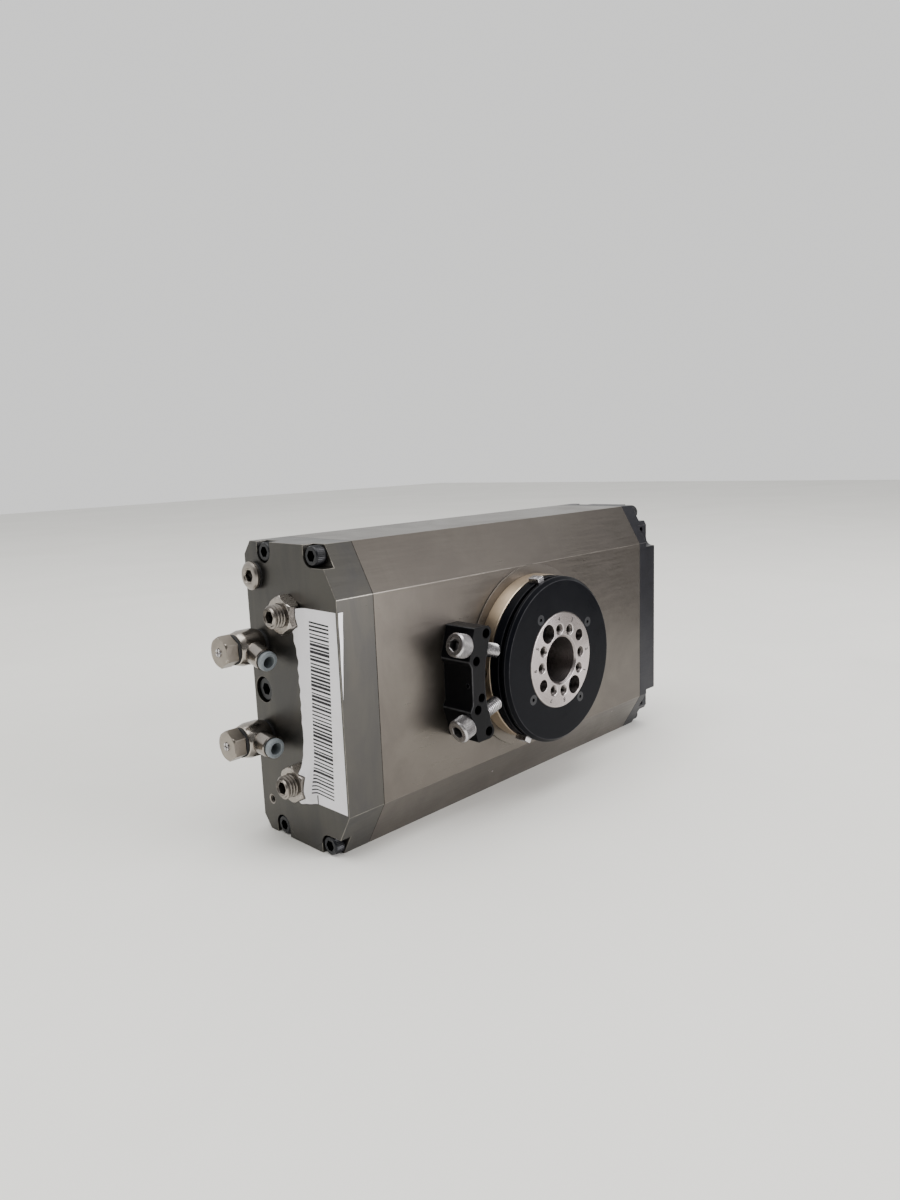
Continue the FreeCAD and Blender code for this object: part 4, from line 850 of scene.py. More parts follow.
class Piece:
    """One finished piece: shapes are placed into one mesh, which then becomes an object.

    Attributes:
        flat: largest fold that counts as flat.
        fold: smallest fold that is rounded.
        weld: distance below which vertices of a CAD mesh are one, in metres.
    """

    flat = radians(0.6)
    fold = radians(25)
    weld = 2e-6

    def __init__(self, name: str) -> None:
        """Start an empty piece.

        Args:
            name: name of the piece.
        """
        self.name = name
        self.bm: BMesh = bmesh.new()
        self.local = self.bm.verts.layers.float_vector.new("local")
        self.wear = self.bm.verts.layers.float.new("wear")
        self.grime = self.bm.verts.layers.float.new("grime")

    def add(self, shape: Shape, place: Placement) -> "Piece":
        """Place a copy of a shape, and keep its own coordinates for turned finishes.

        Args:
            shape: the shape.
            place: where it goes.

        Returns:
            This piece.
        """
        known = set(self.bm.verts)
        mesh = bpy.data.meshes.new("placed_shape")
        shape.bm.to_mesh(mesh)
        mesh.transform(place.matrix())
        self.bm.from_mesh(mesh)
        bpy.data.meshes.remove(mesh)
        self.keep_local([vert for vert in self.bm.verts if vert not in known], place)
        return self

    def keep_local(self, verts: Iterable[BMVert], place: Placement) -> None:
        """Write each vertex's own coordinates, in millimetres, to the piece's attribute.

        Args:
            verts: the vertices.
            place: frame of the coordinates.
        """
        back = place.matrix().inverted()
        for vert in verts:
            vert[self.local] = back @ vert.co

    def soften(self, node: str, width: float, shortest: float, place: Placement = SWIVEL,
               relay: bool = False) -> "Piece":
        """Copy a CAD node with its outer edges rounded and marked for edge wear and painted edge highlights.

        Args:
            node: name of the CAD node.
            width: width of the rounding, in millimetres.
            shortest: shortest edge that is rounded, in millimetres.
            place: frame of the piece's own coordinates.
            relay: whether large flats are laid out anew first, which keeps long edges free.

        Returns:
            This piece.
        """
        self.bm.from_mesh(frame["nodes"][node].data)
        bmesh.ops.remove_doubles(self.bm, verts=self.bm.verts[:], dist=self.weld)
        bmesh.ops.dissolve_limit(self.bm, angle_limit=self.flat, verts=self.bm.verts[:],
                                 edges=self.bm.edges[:])
        if relay:
            self.relay_flats(shortest)
        for chain in self.chains(self.folds(shortest), width * 2 * MM):
            made = bmesh.ops.bevel(self.bm, geom=chain, offset=width * MM, offset_type="OFFSET",
                                   segments=ROUND_STEPS, profile=0.5, affect="EDGES", material=-1,
                                   clamp_overlap=True)
            # The rounded strips carry the mark for edge wear and painted edge highlights.
            strips = set(made["faces"])
            for vert in made["verts"]:
                if strips.issuperset(vert.link_faces):
                    vert[self.wear] = 1.0
        self.keep_local(self.bm.verts, place)
        return self

    def folds(self, shortest: float) -> list[BMEdge]:
        """Outer edges that are long enough to be rounded."""
        return [edge for edge in self.bm.edges
                if edge.is_manifold and edge.calc_face_angle_signed() > self.fold
                and edge.calc_length() > shortest * MM]

    def relay_flats(self, shortest: float, step: float = 10.0) -> None:
        """Part long outer edges into steps and lay out flats in well-shaped triangles.

        Args:
            shortest: shortest outer edge that counts, in millimetres.
            step: longest step, in millimetres.
        """
        while long := [edge for edge in self.folds(shortest) if edge.calc_length() > step * MM]:
            bmesh.ops.bisect_edges(self.bm, edges=long, cuts=1)
        flats = [face for face in self.bm.faces
                 if len(face.verts) > 4 or any(map(self.lies_flat, face.edges))]
        laid = set(bmesh.ops.triangulate(self.bm, faces=flats)["faces"])
        inner = [edge for edge in self.bm.edges if self.lies_flat(edge) and set(edge.link_faces) <= laid]
        bmesh.ops.beautify_fill(self.bm, faces=list(laid), edges=inner, method="ANGLE")

    def lies_flat(self, edge: BMEdge) -> bool:
        """Whether an edge lies within a flat."""
        return edge.is_manifold and edge.calc_face_angle() < self.flat

    def chains(self, edges: list[BMEdge], room: float) -> list[list[BMEdge]]:
        """Sort edges that have room beside them into connected chains.

        Args:
            edges: the edges.
            room: length that every other edge at their ends must have.

        Returns:
            The chains.
        """
        chosen = set(edges)
        left = {edge for edge in edges if all(other in chosen or other.calc_length() > room
                                              for vert in edge.verts for other in vert.link_edges)}
        found = []
        for edge in edges:
            chain, queue = [], [edge]
            while queue:
                link = queue.pop()
                if link in left:
                    left.remove(link)
                    chain.append(link)
                    queue += [other for vert in link.verts for other in vert.link_edges]
            if chain:
                found.append(chain)
        return found

    def soil(self, depth: Callable[[Vector], float]) -> "Piece":
        """Add grime and painted shade to every vertex.

        Args:
            depth: gives the mark for grime and painted shade, up to 1, at a place in the piece's own
                millimetres.

        Returns:
            This piece.
        """
        for vert in self.bm.verts:
            vert[self.grime] = min(max(depth(vert[self.local]), vert[self.grime]), 1.0)
        return self

    def done(self, finish: Finish, body: str, *nodes: str, sharp: float = 42.0) -> None:
        """Make the object, dress it and set it on its body.

        Args:
            finish: finish of the piece.
            body: CAD body that it rides on.
            nodes: CAD nodes that it stands for.
            sharp: smallest fold that stays a crisp edge, in degrees.
        """
        for edge in self.bm.edges:
            edge.smooth = len(edge.link_faces) == 2 and edge.calc_face_angle(0.0) < radians(sharp)
        for face in self.bm.faces:
            face.smooth = True
        mesh = bpy.data.meshes.new(self.name)
        self.bm.to_mesh(mesh)
        self.bm.free()
        mesh.materials.append(finish.material())
        made = bpy.data.objects.new(self.name, mesh)
        bpy.context.scene.collection.objects.link(made)
        flats = made.modifiers.new("even_flats", "WEIGHTED_NORMAL")
        flats.keep_sharp = True
        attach(made, body)
        if nodes:
            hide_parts(*nodes)
        log.info("piece %s: %d faces, on %s", self.name, len(mesh.polygons), body)


def dress_node(name: str, node: str, finish: Finish, body: str, width: float, shortest: float,
               place: Placement = SWIVEL, relay: bool = False) -> None:
    """Put a softened and dressed copy in a CAD node's place.

    Args:
        name: name of the piece.
        node: name of the CAD node.
        finish: finish of the piece.
        body: CAD body that it rides on.
        width: width of the rounding, in millimetres.
        shortest: shortest edge that is rounded, in millimetres.
        place: frame of the piece's own coordinates.
        relay: whether large flats are laid out anew first.
    """
    Piece(name).soften(node, width, shortest, place, relay).done(finish, body, node)


def set_screw(radius: float, flats: float) -> Shape:
    """Model the outer end of a set screw, which stands a hair proud of level zero.

    Args:
        radius: radius of the screw.
        flats: width across its socket's flats.

    Returns:
        The screw's end.
    """
    top = 0.12
    chamfer = 0.1
    land = 0.25
    socket_depth = flats * 0.6
    profile: Profile = [(0.0, -radius), (radius, -radius), (radius, top - chamfer),
                        (radius - chamfer, top), (radius - land, top)]
    made = Shape().lathe(profile, segments=32)
    return made.hex_socket(made.rim(top), top, flats, socket_depth).outward()


@dataclass(frozen=True)
class TappedHole:
    """Cut thread of a tapped hole, as a closed sleeve just inside the hole's wall.

    Attributes:
        wall: radius of the hole.
        pitch: pitch of the thread.
        depth: depth of the thread's lower end.
        setback: depth of the thread's upper end.
        gap: gap between the sleeve and the hole's wall.
        skin: least thickness of the sleeve, with the gap.
        segments: steps of one turn.
    """

    wall: float
    pitch: float
    depth: float
    setback: float = 1.0
    gap: float = 0.01
    skin: float = 0.04
    segments: int = 24

    def shape(self) -> Shape:
        """Model the sleeve, its mouth at level zero.

        Returns:
            The sleeve.
        """
        outer = self.wall - self.gap
        root = self.wall - self.skin
        crest = root - self.pitch / 2
        made = Shape().thread(crest, root, self.pitch, -self.depth, -self.setback, self.segments)
        lower = made.rim(-self.depth)
        upper = made.grow(made.rim(-self.setback), outer, -self.setback)
        wall = made.grow(upper, outer, -self.depth)
        bmesh.ops.bridge_loops(made.bm, edges=wall + lower)
        return made.outward()


@dataclass
class Blocks:
    """Housing, end caps and rear cover, with softened edges.

    Attributes:
        edge: rounding of the blocks and the cover.
        shortest: shortest edge that is rounded.
        step_wear: share of the lighter edge colour laid on the step ring's face.
        face_reach: depth of that face.
        joint_grime: grime in the joints between housing and caps.
        joint_reach: reach of that grime beside a joint.
        mount_hole: threaded holes in the back.
        mount_half_x: half their distance along the unit.
        mount_half_z: half their distance upwards.
    """

    edge: float = 0.3
    shortest: float = 0.9
    step_wear: float = 0.3
    face_reach: float = 0.1
    joint_grime: float = 0.9
    joint_reach: float = 0.2
    mount_hole: TappedHole = TappedHole(wall=3.4, pitch=1.25, depth=12.0, setback=0.8)
    mount_half_x: float = 95.0
    mount_half_z: float = 65.0

    def build(self) -> None:
        """Copy and dress the blocks, with dark joints and a lighter face on the step ring."""
        low, high = node_box("housing")
        for name, node, finish in (("housing_block", "housing", HOUSING),
                                   ("near_cap_block", "near_end_cap", NEAR_CAP),
                                   ("far_cap_block", "far_end_cap", FAR_CAP)):
            piece = Piece(name).soften(node, self.edge, self.shortest, relay=True)
            piece.soil(lambda own: self.joint_soil(min(abs(own.x - low.x), abs(own.x - high.x))))
            # The step ring's face takes part of the lighter edge colour.
            for vert in piece.bm.verts:
                if -vert[piece.local].z < low.y + self.face_reach:
                    vert[piece.wear] = max(vert[piece.wear], self.step_wear)
            piece.done(finish, "unit", node)
        dress_node("rear_cover_disc", "rear_cover", BLACK_RING, "unit", self.edge, self.shortest)
        piece = Piece("mount_hole_threads")
        thread = self.mount_hole.shape()
        for x in (-self.mount_half_x, self.mount_half_x):
            for z in (-self.mount_half_z, self.mount_half_z):
                piece.add(thread, Placement((x, 0.0, z), BACK))
        piece.done(HOUSING, "unit")

    def joint_soil(self, distance: float) -> float:
        """Grime at a distance from a joint."""
        return self.joint_grime if distance < self.joint_reach else 0.0


@dataclass(frozen=True)
class SocketScrew:
    """A socket head cap screw.

    Attributes:
        head: radius of the head.
        height: height of the head.
        shank: radius of the shank.
        reach: length of the shank.
        flats: width across the socket's flats.
        knurl: pattern on the head's side.
        grooves: number of grooves round the head.
        groove_depth: depth of the grooves.
        edge: rounding of the head's top.
        pitch: pitch of a cut thread, or none for a plain shank.
        hair: least step between two rings of the mesh.
        seat_chamfer: chamfer under the head.
        rows: rows of points in a diamond knurl.
        foot_share: lower end of the knurl, as a share of the height.
        band_share: distance of the knurl's upper end from the top, in roundings.
        land_share: distance of the flat top's rim from the side, in roundings.
        socket_share: depth of the socket, as a share of the height.
        tip_share: radius of the shank's end, as a share of the shank.
        tooth_share: depth of a cut thread, as a share of the pitch.
        undercut: length of the plain neck above a cut thread.
        thread_start: depth of a cut thread's upper end.
        tip_chamfer: length of the chamfer at a cut thread's end.
        end_share: radius of the discs that close a cut thread, as a share of what they close.
    """

    head: float
    height: float
    shank: float
    reach: float
    flats: float
    knurl: Knurl = Knurl.STRAIGHT
    grooves: int = 36
    groove_depth: float = 0.22
    edge: float = 0.5
    pitch: float = 0.0
    hair: float = 0.02
    seat_chamfer: float = 0.25
    rows: int = 12
    foot_share: float = 0.1
    band_share: float = 1.6
    land_share: float = 2.2
    socket_share: float = 0.55
    tip_share: float = 0.8
    tooth_share: float = 0.55
    undercut: float = 1.0
    thread_start: float = 1.2
    tip_chamfer: float = 0.6
    end_share: float = 0.9

    def shape(self) -> Shape:
        """Model the screw, its seat at level zero and its head upwards.

        Returns:
            The screw.
        """
        segments = self.grooves * 2
        rows = self.rows if self.knurl is Knurl.DIAMOND else 2
        low = self.height * self.foot_share
        high = self.height - self.edge * self.band_share
        land = self.head - self.edge * self.land_share
        socket_depth = self.height * self.socket_share
        profile: Profile = [(self.shank, -self.hair), (self.head - self.seat_chamfer, 0.0),
                            (self.head, low - self.hair)]
        profile += [(self.head, low + (high - low) * row / (rows - 1)) for row in range(rows)]
        profile += [(self.head, high + self.hair), (self.head - self.edge, self.height, self.edge / 2),
                    (land, self.height)]
        made = Shape().lathe(profile, segments)
        made.knurl(self.head, low - self.hair / 2, high + self.hair / 2, segments, self.groove_depth,
                   self.knurl)
        made.hex_socket(made.rim(self.height), self.height, self.flats, socket_depth)
        self.add_shank(made)
        return made.outward()

    def add_shank(self, made: Shape) -> None:
        """Carry the shank down from the head, with a thread where the screw has one.

        Args:
            made: the screw so far, open under its head.
        """
        tip = self.shank * self.tip_share
        if not self.pitch:
            neck = made.grow(made.rim(-self.hair), self.shank, self.shank - tip - self.reach)
            made.cap(made.grow(neck, tip, -self.reach))
            return
        root = self.shank - self.pitch * self.tooth_share
        start = -self.thread_start
        end = self.tip_chamfer - self.reach
        made.cap(made.grow(made.rim(-self.hair), root, -self.undercut))
        made.thread(self.shank, root, self.pitch, end, start)
        made.cap(made.grow(made.rim(start), root * self.end_share, start))
        made.cap(made.grow(made.grow(made.rim(end), root, end), tip * self.end_share, -self.reach))


@dataclass
class CapScrews:
    """Corner screws of both caps and the centre screw of the near cap.

    Attributes:
        corner: a corner screw.
        centre: the centre screw.
        middle: level of the caps' middle, from the back.
        half_width: half the distance between corner screws along that level.
        half_height: half their distance upwards.
        centre_depth: level of the centre screw, from the back.
    """

    corner: SocketScrew = SocketScrew(head=5.0, height=6.0, shank=3.0, reach=30.0, flats=5.0)
    centre: SocketScrew = SocketScrew(head=6.5, height=8.0, shank=4.0, reach=29.5, flats=6.0)
    middle: float = -38.0
    half_width: float = 20.0
    half_height: float = 74.53
    centre_depth: float = -9.0

    def build(self) -> None:
        """Make and dress the screws."""
        shape = self.corner.shape()
        for word, axis, pick in (("near", LEFT, 0), ("far", RIGHT, 1)):
            node = f"{word}_cap_screws"
            piece = Piece(f"{word}_corner_screws")
            seat = node_box(node)[pick].x - axis[0] * self.corner.height
            for across in (-1, 1):
                for side in (-1, 1):
                    spot = (seat, self.middle + across * self.half_width, side * self.half_height)
                    piece.add(shape, Placement(spot, axis))
            piece.done(BLACK_STEEL, "unit", node)
        node = "near_cap_centre_screw"
        seat = node_box(node)[0].x + self.centre.height
        place = Placement((seat, self.centre_depth, 0.0), LEFT)
        Piece("near_centre_screw").add(self.centre.shape(), place).done(BLACK_STEEL, "unit", node)


@dataclass
class EndStop:
    """Stop screw of one cylinder, with a cut thread and a hexagon socket.

    Attributes:
        side: upper or lower cylinder.
        root: radius of the thread's roots.
        pitch: pitch of the thread.
        thread_depth: length of the cut thread.
        end_length: length of the chamfered end.
        end_chamfer: chamfer of that end, across the axis.
        run_out: length from the thread to the plain shank.
        tip_chamfer: chamfer of the inner end.
        flats: width across the socket's flats.
        socket_depth: depth of the socket.
        cone: radius of the countersink at the socket.
        cone_depth: depth of the countersink.
        clearance: room between the crests and the CAD node's outline.
    """

    side: Side
    root: float = 5.05
    pitch: float = 1.75
    thread_depth: float = 24.0
    end_length: float = 0.9
    end_chamfer: float = 0.45
    run_out: float = 0.3
    tip_chamfer: float = 0.6
    flats: float = 6.0
    socket_depth: float = 6.0
    cone: float = 4.1
    cone_depth: float = 0.55
    clearance: float = 0.02

    def build(self) -> None:
        """Make and dress the stop screw."""
        node = f"{self.side.word}_stop_screw"
        low, high = node_box(node)
        middle = (low + high) / 2
        crest = (high.z - low.z) / 2 - self.clearance
        length = high.x - low.x
        made = Shape().thread(crest, self.root, self.pitch, -self.thread_depth, -self.end_length)
        collar = made.grow(made.rim(-self.end_length), self.root, -self.end_length)
        mouth = made.grow(made.grow(collar, self.root - self.end_chamfer, 0.0), self.cone, 0.0)
        rim = made.grow(mouth, self.cone - self.cone_depth, -self.cone_depth)
        made.hex_socket(rim, -self.cone_depth, self.flats, self.socket_depth)
        shank = made.grow(made.rim(-self.thread_depth), crest, -self.thread_depth - self.run_out)
        tip = made.grow(shank, crest, self.tip_chamfer - length)
        made.cap(made.grow(tip, crest - self.tip_chamfer, -length)).outward()
        place = Placement((low.x, middle.y, middle.z), LEFT)
        Piece(f"{self.side.word}_stop").add(made, place).done(DULL_STEEL, f"{self.side.word}_stop", node)


@dataclass
class Fittings:
    """Lock nuts, screw plug and small threaded port on the near cap.

    Attributes:
        nut_edge: rounding of the lock nuts.
        nut_step: shortest edge of a nut that is rounded.
        plug_edge: slope at the plug's rim.
        plug_round: rounding of that slope.
        plug_cone: radius of the countersink at the plug's socket.
        cone_depth: depth of the countersink.
        plug_flats: width across the socket's flats.
        plug_socket: depth of the socket.
        plug_flange: thickness of the plug's flange.
        flange_chamfer: chamfer under the flange.
        plug_shank: radius of the plug's shank.
        shank_chamfer: chamfer at the shank's end.
        eyelet: outer radius of the bright ring at the small port.
        eyelet_wall: width of the ring.
        eyelet_land: width of its flat top.
        eyelet_depth: depth of the ring.
        proud: how far the ring stands out.
        small_port: thread of the small port.
        port_grime: most painted shade in the port.
        grime_depth: depth over which the painted shade grows.
    """

    nut_edge: float = 0.35
    nut_step: float = 0.3
    plug_edge: float = 1.3
    plug_round: float = 0.9
    plug_cone: float = 4.4
    cone_depth: float = 0.7
    plug_flats: float = 6.0
    plug_socket: float = 2.6
    plug_flange: float = 3.0
    flange_chamfer: float = 0.3
    plug_shank: float = 4.9
    shank_chamfer: float = 0.6
    eyelet: float = 2.75
    eyelet_wall: float = 0.65
    eyelet_land: float = 0.2
    eyelet_depth: float = 0.6
    proud: float = 0.06
    small_port: TappedHole = TappedHole(wall=2.1, pitch=0.8, depth=9.0, setback=0.6)
    port_grime: float = 0.9
    grime_depth: float = 1.5

    def build(self) -> None:
        """Make and dress the fittings."""
        dress_node("lock_nuts", "stop_lock_nuts", DULL_STEEL, "unit", self.nut_edge, self.nut_step,
                   relay=True)
        low, high = node_box("port_plug")
        middle = (low + high) / 2
        made = self.plug((high.z - low.z) / 2, high.x - low.x - self.plug_flange)
        place = Placement((low.x + self.plug_flange, middle.y, middle.z), LEFT)
        Piece("screw_plug").add(made, place).done(DULL_STEEL, "unit", "port_plug")
        place = Placement((node_box("near_end_cap")[0].x, middle.y, -middle.z), LEFT)
        insert = Piece("small_port_insert").add(self.small_port.shape(), place).add(self.ring(), place)
        # Painted shade in the small port, darker with depth.
        insert.soil(lambda own: min(self.port_grime, -own.z / self.grime_depth)).done(DULL_STEEL, "unit")

    def plug(self, radius: float, reach: float) -> Shape:
        """Model the plug, its flange's seat at level zero.

        Args:
            radius: radius of the flange.
            reach: length of the shank.

        Returns:
            The plug.
        """
        top = self.plug_flange
        mouth = top - self.cone_depth
        profile: Profile = [
            (0.0, -reach), (self.plug_shank - self.shank_chamfer, -reach),
            (self.plug_shank, self.shank_chamfer - reach), (self.plug_shank, 0.0),
            (radius - self.flange_chamfer, 0.0), (radius, self.flange_chamfer),
            (radius, top - self.plug_edge), (radius - self.plug_edge, top, self.plug_round),
            (self.plug_cone, top), (self.plug_cone - self.cone_depth, mouth)]
        made = Shape().lathe(profile)
        made.hex_socket(made.rim(mouth), mouth, self.plug_flats, self.plug_socket - self.cone_depth)
        return made.outward()

    def ring(self) -> Shape:
        """Model the thin ring at the small port, the cap's face at level zero.

        Returns:
            The ring.
        """
        inner = self.eyelet - self.eyelet_wall
        profile: Profile = [(inner, -self.eyelet_depth), (inner, -self.eyelet_depth / 2),
                            (self.eyelet - self.eyelet_land, self.proud), (self.eyelet, self.proud),
                            (self.eyelet, -self.eyelet_depth)]
        return Shape().lathe(profile, closed=True).outward()


@dataclass
class FlowElbow:
    """Flow-control elbow of one cylinder: bolt, body, release collar and throttle screw.

    Attributes:
        side: upper or lower cylinder.
        body_edge: rounding of the body.
        body_step: shortest edge of the body that is rounded.
        bolt_edge: rounding of the bolt.
        screw_edge: rounding of the throttle screw.
        collar_edge: rounding of the release collar.
        shortest: shortest edge of the other pieces that is rounded.
    """

    side: Side
    body_edge: float = 0.55
    body_step: float = 0.3
    bolt_edge: float = 0.3
    screw_edge: float = 0.2
    collar_edge: float = 0.3
    shortest: float = 0.2

    def build(self) -> None:
        """Copy and dress the elbow's pieces."""
        word = self.side.word
        bolt = f"{word}_elbow_bolt"
        low, high = node_box(bolt)
        middle = (low + high) / 2
        place = Placement((low.x, middle.y, middle.z), LEFT)
        dress_node(f"{word}_banjo_body", f"{word}_elbow_body", NICKEL, f"{word}_elbow", self.body_edge,
                   self.body_step, place)
        dress_node(f"{word}_banjo_bolt", bolt, SATIN_NICKEL, "unit", self.bolt_edge, self.shortest, place,
                   relay=True)
        dress_node(f"{word}_throttle", f"{word}_throttle_screw", BRIGHT_STEEL, f"{word}_throttle",
                   self.screw_edge, self.shortest, place)
        dress_node(f"{word}_collar", f"{word}_release_collar", COLLAR, f"{word}_collar", self.collar_edge,
                   self.shortest)


@dataclass
class SensorBracket:
    """Black bracket with its fixing screws and two knurled screws.

    Attributes:
        screw: a knurled screw.
        screw_fold: smallest fold of the knurl that stays crisp, in degrees.
        edge: rounding of the bracket.
        shortest: shortest edge that is rounded.
        screw_angle: angle of the knurled screws beside the bracket's middle, in degrees.
        screw_seat: distance of their seats from the swivel axis.
        screw_level: their level along the swivel axis.
        waist: place of the set screw.
        pin_radius: radius of the set screw.
        pin_flats: width across its socket's flats.
        groove_dirt: painted shade in the knurl's grooves.
        groove_range: depths that count as a groove, as shares of the full depth.
    """

    screw: SocketScrew = SocketScrew(head=6.5, height=8.0, shank=3.98, reach=25.5, flats=6.0,
                                     knurl=Knurl.DIAMOND, grooves=30, groove_depth=0.4, edge=0.6, pitch=1.25)
    screw_fold: float = 10.0
    edge: float = 0.6
    shortest: float = 0.5
    screw_angle: float = 16.0
    screw_seat: float = 77.4
    screw_level: float = -92.0
    waist: Point = (-74.55, -93.5, 0.1)
    pin_radius: float = 1.5
    pin_flats: float = 1.5
    groove_dirt: float = 0.75
    groove_range: tuple[float, float] = (0.2, 1.1)

    def build(self) -> None:
        """Make and dress the bracket and its screws."""
        dress_node("bracket_block", "sensor_bracket", BLACK_BRACKET, "unit", self.edge, self.shortest,
                   relay=True)
        piece = Piece("knurled_bracket_screws")
        shape = self.screw.shape()
        for side in Side:
            angle = 180 - side.value * self.screw_angle
            piece.add(shape, Placement.radial(angle, self.screw_seat, self.screw_level))
        # Painted shade in the knurl's grooves.
        piece.soil(self.groove_soil).done(BRIGHT_STEEL, "unit", "knurled_screws", sharp=self.screw_fold)
        pin = set_screw(self.pin_radius, self.pin_flats)
        Piece("bracket_set_screw").add(pin, Placement(self.waist, LEFT)).done(BLACK_STEEL, "unit")

    def groove_soil(self, own: Vector) -> float:
        """Give the painted shade in the knurl's grooves.

        Args:
            own: a place on the screw, in its own millimetres.

        Returns:
            The painted shade, or none away from the grooves.
        """
        least, most = self.groove_range
        sunk = (self.screw.head - own.xy.length) / self.screw.groove_depth
        on_side = 0.0 < own.z < self.screw.height - self.screw.edge
        return self.groove_dirt if on_side and least < sunk < most else 0.0


@dataclass
class OutputHead:
    """Gold cover, trip-cam ring, trip cams and output flange with its threads and digits.

    Attributes:
        cover_edge: rounding of the gold cover.
        ring_edge: rounding of the trip-cam ring.
        flange_edge: rounding of the flange.
        cam_edge: rounding of the trip cams.
        shortest: shortest edge that is rounded.
        fine_step: shortest edge that is rounded on the flange and the trip cams.
        turn: turn of the flange's hole pattern at rest, in degrees.
        tapped: the threaded holes.
        tapped_count: number of threaded holes.
        tapped_circle: radius of their circle.
        tapped_pair: half the angle between the two holes of a pair.
        digit_circle: radius of the circle of digits.
        digit_height: height of a digit.
        digit_depth: thickness of the digits, by which the flange's face is set back.
        digit_weight: how far a digit's strokes are thickened.
        digit_steps: steps of a digit's curves.
        bore_depth: depth at which a hole's painted shade is full.
        bore_grime: most painted shade in the centre bore.
        hole_grime: painted shade in the other holes.
        thread_grime: painted shade at the mouth of the threads.
        face_share: share of the rounding that counts as the flange's face.
        rim_share: share of the flange's radius within which its holes lie.
        bore_share: share of the radius that the centre bore takes.
        cam_angles: places of the upper and the lower trip cam round the ring, in degrees.
        cam_top: radius of the trip cams' outer face.
        cam_level: level of the trip cams' screws.
        cam_screw: radius of those screws.
        cam_flats: width across their sockets' flats.
    """

    cover_edge: float = 0.35
    ring_edge: float = 0.3
    flange_edge: float = 0.3
    cam_edge: float = 0.25
    shortest: float = 0.6
    fine_step: float = 0.3
    turn: float = -10.5
    tapped: TappedHole = TappedHole(wall=2.5, pitch=0.8, depth=12.0)
    tapped_count: int = 8
    tapped_circle: float = 18.5
    tapped_pair: float = 15.0
    digit_circle: float = 24.4
    digit_height: float = 3.5
    digit_depth: float = 0.04
    digit_weight: float = 0.09
    digit_steps: int = 3
    bore_depth: float = 9.0
    bore_grime: float = 0.9
    hole_grime: float = 0.8
    thread_grime: float = 0.7
    face_share: float = 0.9
    rim_share: float = 0.9
    bore_share: float = 0.5
    cam_angles: tuple[float, float] = (104.5, -123.0)
    cam_top: float = 51.4
    cam_level: float = -90.2
    cam_screw: float = 1.5
    cam_flats: float = 1.5

    def build(self) -> None:
        """Make and dress the pieces of the output head."""
        dress_node("gold_cover", "front_bearing_cover", GOLD, "unit", self.cover_edge, self.shortest)
        dress_node("cam_ring", "trip_cam_ring", BLACK_RING, "output", self.ring_edge, self.shortest)
        self.flange()
        for side, angle in zip(Side, self.cam_angles):
            self.cam(side.word, angle)

    def flange(self) -> None:
        """Make the flange with painted shade in its holes, their threads and the digits."""
        low, high = node_box("output_flange")
        front, rim = -low.y, (high.x - low.x) / 2
        disc = Piece("flange_disc").soften("output_flange", self.flange_edge, self.fine_step)
        # Painted shade in the flange's holes, darker with depth in the centre bore.
        disc.soil(lambda own: self.hole_soil(front - own.z, own.xy.length, rim))
        for vert in disc.bm.verts:
            if front - vert[disc.local].z < self.digit_depth / 2:
                vert.co.y += self.digit_depth * MM
        disc.done(FLANGE, "output", "output_flange")
        threads, digits = Piece("flange_threads"), Piece("flange_digits")
        thread = self.tapped.shape()
        for index in range(self.tapped_count):
            across = self.tapped_pair if index % 2 else -self.tapped_pair
            angle = 90 * (index // 2) + across + self.turn
            hole = Placement.radial(angle, self.tapped_circle, -front)
            mark = Placement.radial(angle, self.digit_circle, -front)
            reading = Vector(mark.axis).cross(Vector(FRONT))
            threads.add(thread, Placement(hole.origin, FRONT))
            digits.add(self.digit(index + 1), Placement(mark.origin, FRONT, tuple(reading)))
        # Painted shade in the threads, darker with depth.
        threads.soil(lambda own: self.thread_grime - own.z / self.bore_depth).done(FLANGE, "output")
        digits.done(INK, "output")

    def hole_soil(self, depth: float, reach: float, rim: float) -> float:
        """Give the painted shade of the flange's holes.

        Args:
            depth: depth below the flange's face.
            reach: distance from the swivel axis.
            rim: radius of the flange.

        Returns:
            The painted shade: little at the mouth of the centre bore, much in the other holes.
        """
        if depth < self.flange_edge * self.face_share or reach > rim * self.rim_share:
            return 0.0
        if reach < rim * self.bore_share:
            return min(self.bore_grime, depth / self.bore_depth)
        return self.hole_grime

    def digit(self, number: int) -> Shape:
        """Model one stamped digit, its top at level zero.

        Args:
            number: the digit.

        Returns:
            The digit, as a thin solid.
        """
        curve = bpy.data.curves.new("digit", "FONT")
        curve.body = str(number)
        curve.size = self.digit_height
        curve.align_x = "CENTER"
        curve.align_y = "CENTER"
        curve.extrude = self.digit_depth / 2
        curve.offset = self.digit_weight
        curve.resolution_u = self.digit_steps
        text = bpy.data.objects.new("digit", curve)
        mesh = bpy.data.meshes.new_from_object(text)
        made = Shape()
        made.bm.from_mesh(mesh)
        bmesh.ops.translate(made.bm, verts=made.bm.verts[:], vec=(0.0, 0.0, -self.digit_depth / 2))
        bmesh.ops.remove_doubles(made.bm, verts=made.bm.verts[:], dist=made.weld)
        bpy.data.objects.remove(text)
        bpy.data.curves.remove(curve)
        bpy.data.meshes.remove(mesh)
        return made.outward()

    def cam(self, word: str, angle: float) -> None:
        """Make one trip cam and the screw that clamps it.

        Args:
            word: upper or lower.
            angle: place of the cam round the ring, in degrees.
        """
        dress_node(f"{word}_cam_block", f"{word}_trip_cam", BRIGHT_STEEL, f"{word}_cam", self.cam_edge,
                   self.fine_step, relay=True)
        place = Placement.radial(angle, self.cam_top, self.cam_level)
        screw = set_screw(self.cam_screw, self.cam_flats)
        Piece(f"{word}_cam_screw").add(screw, place).done(BRIGHT_STEEL, f"{word}_cam")


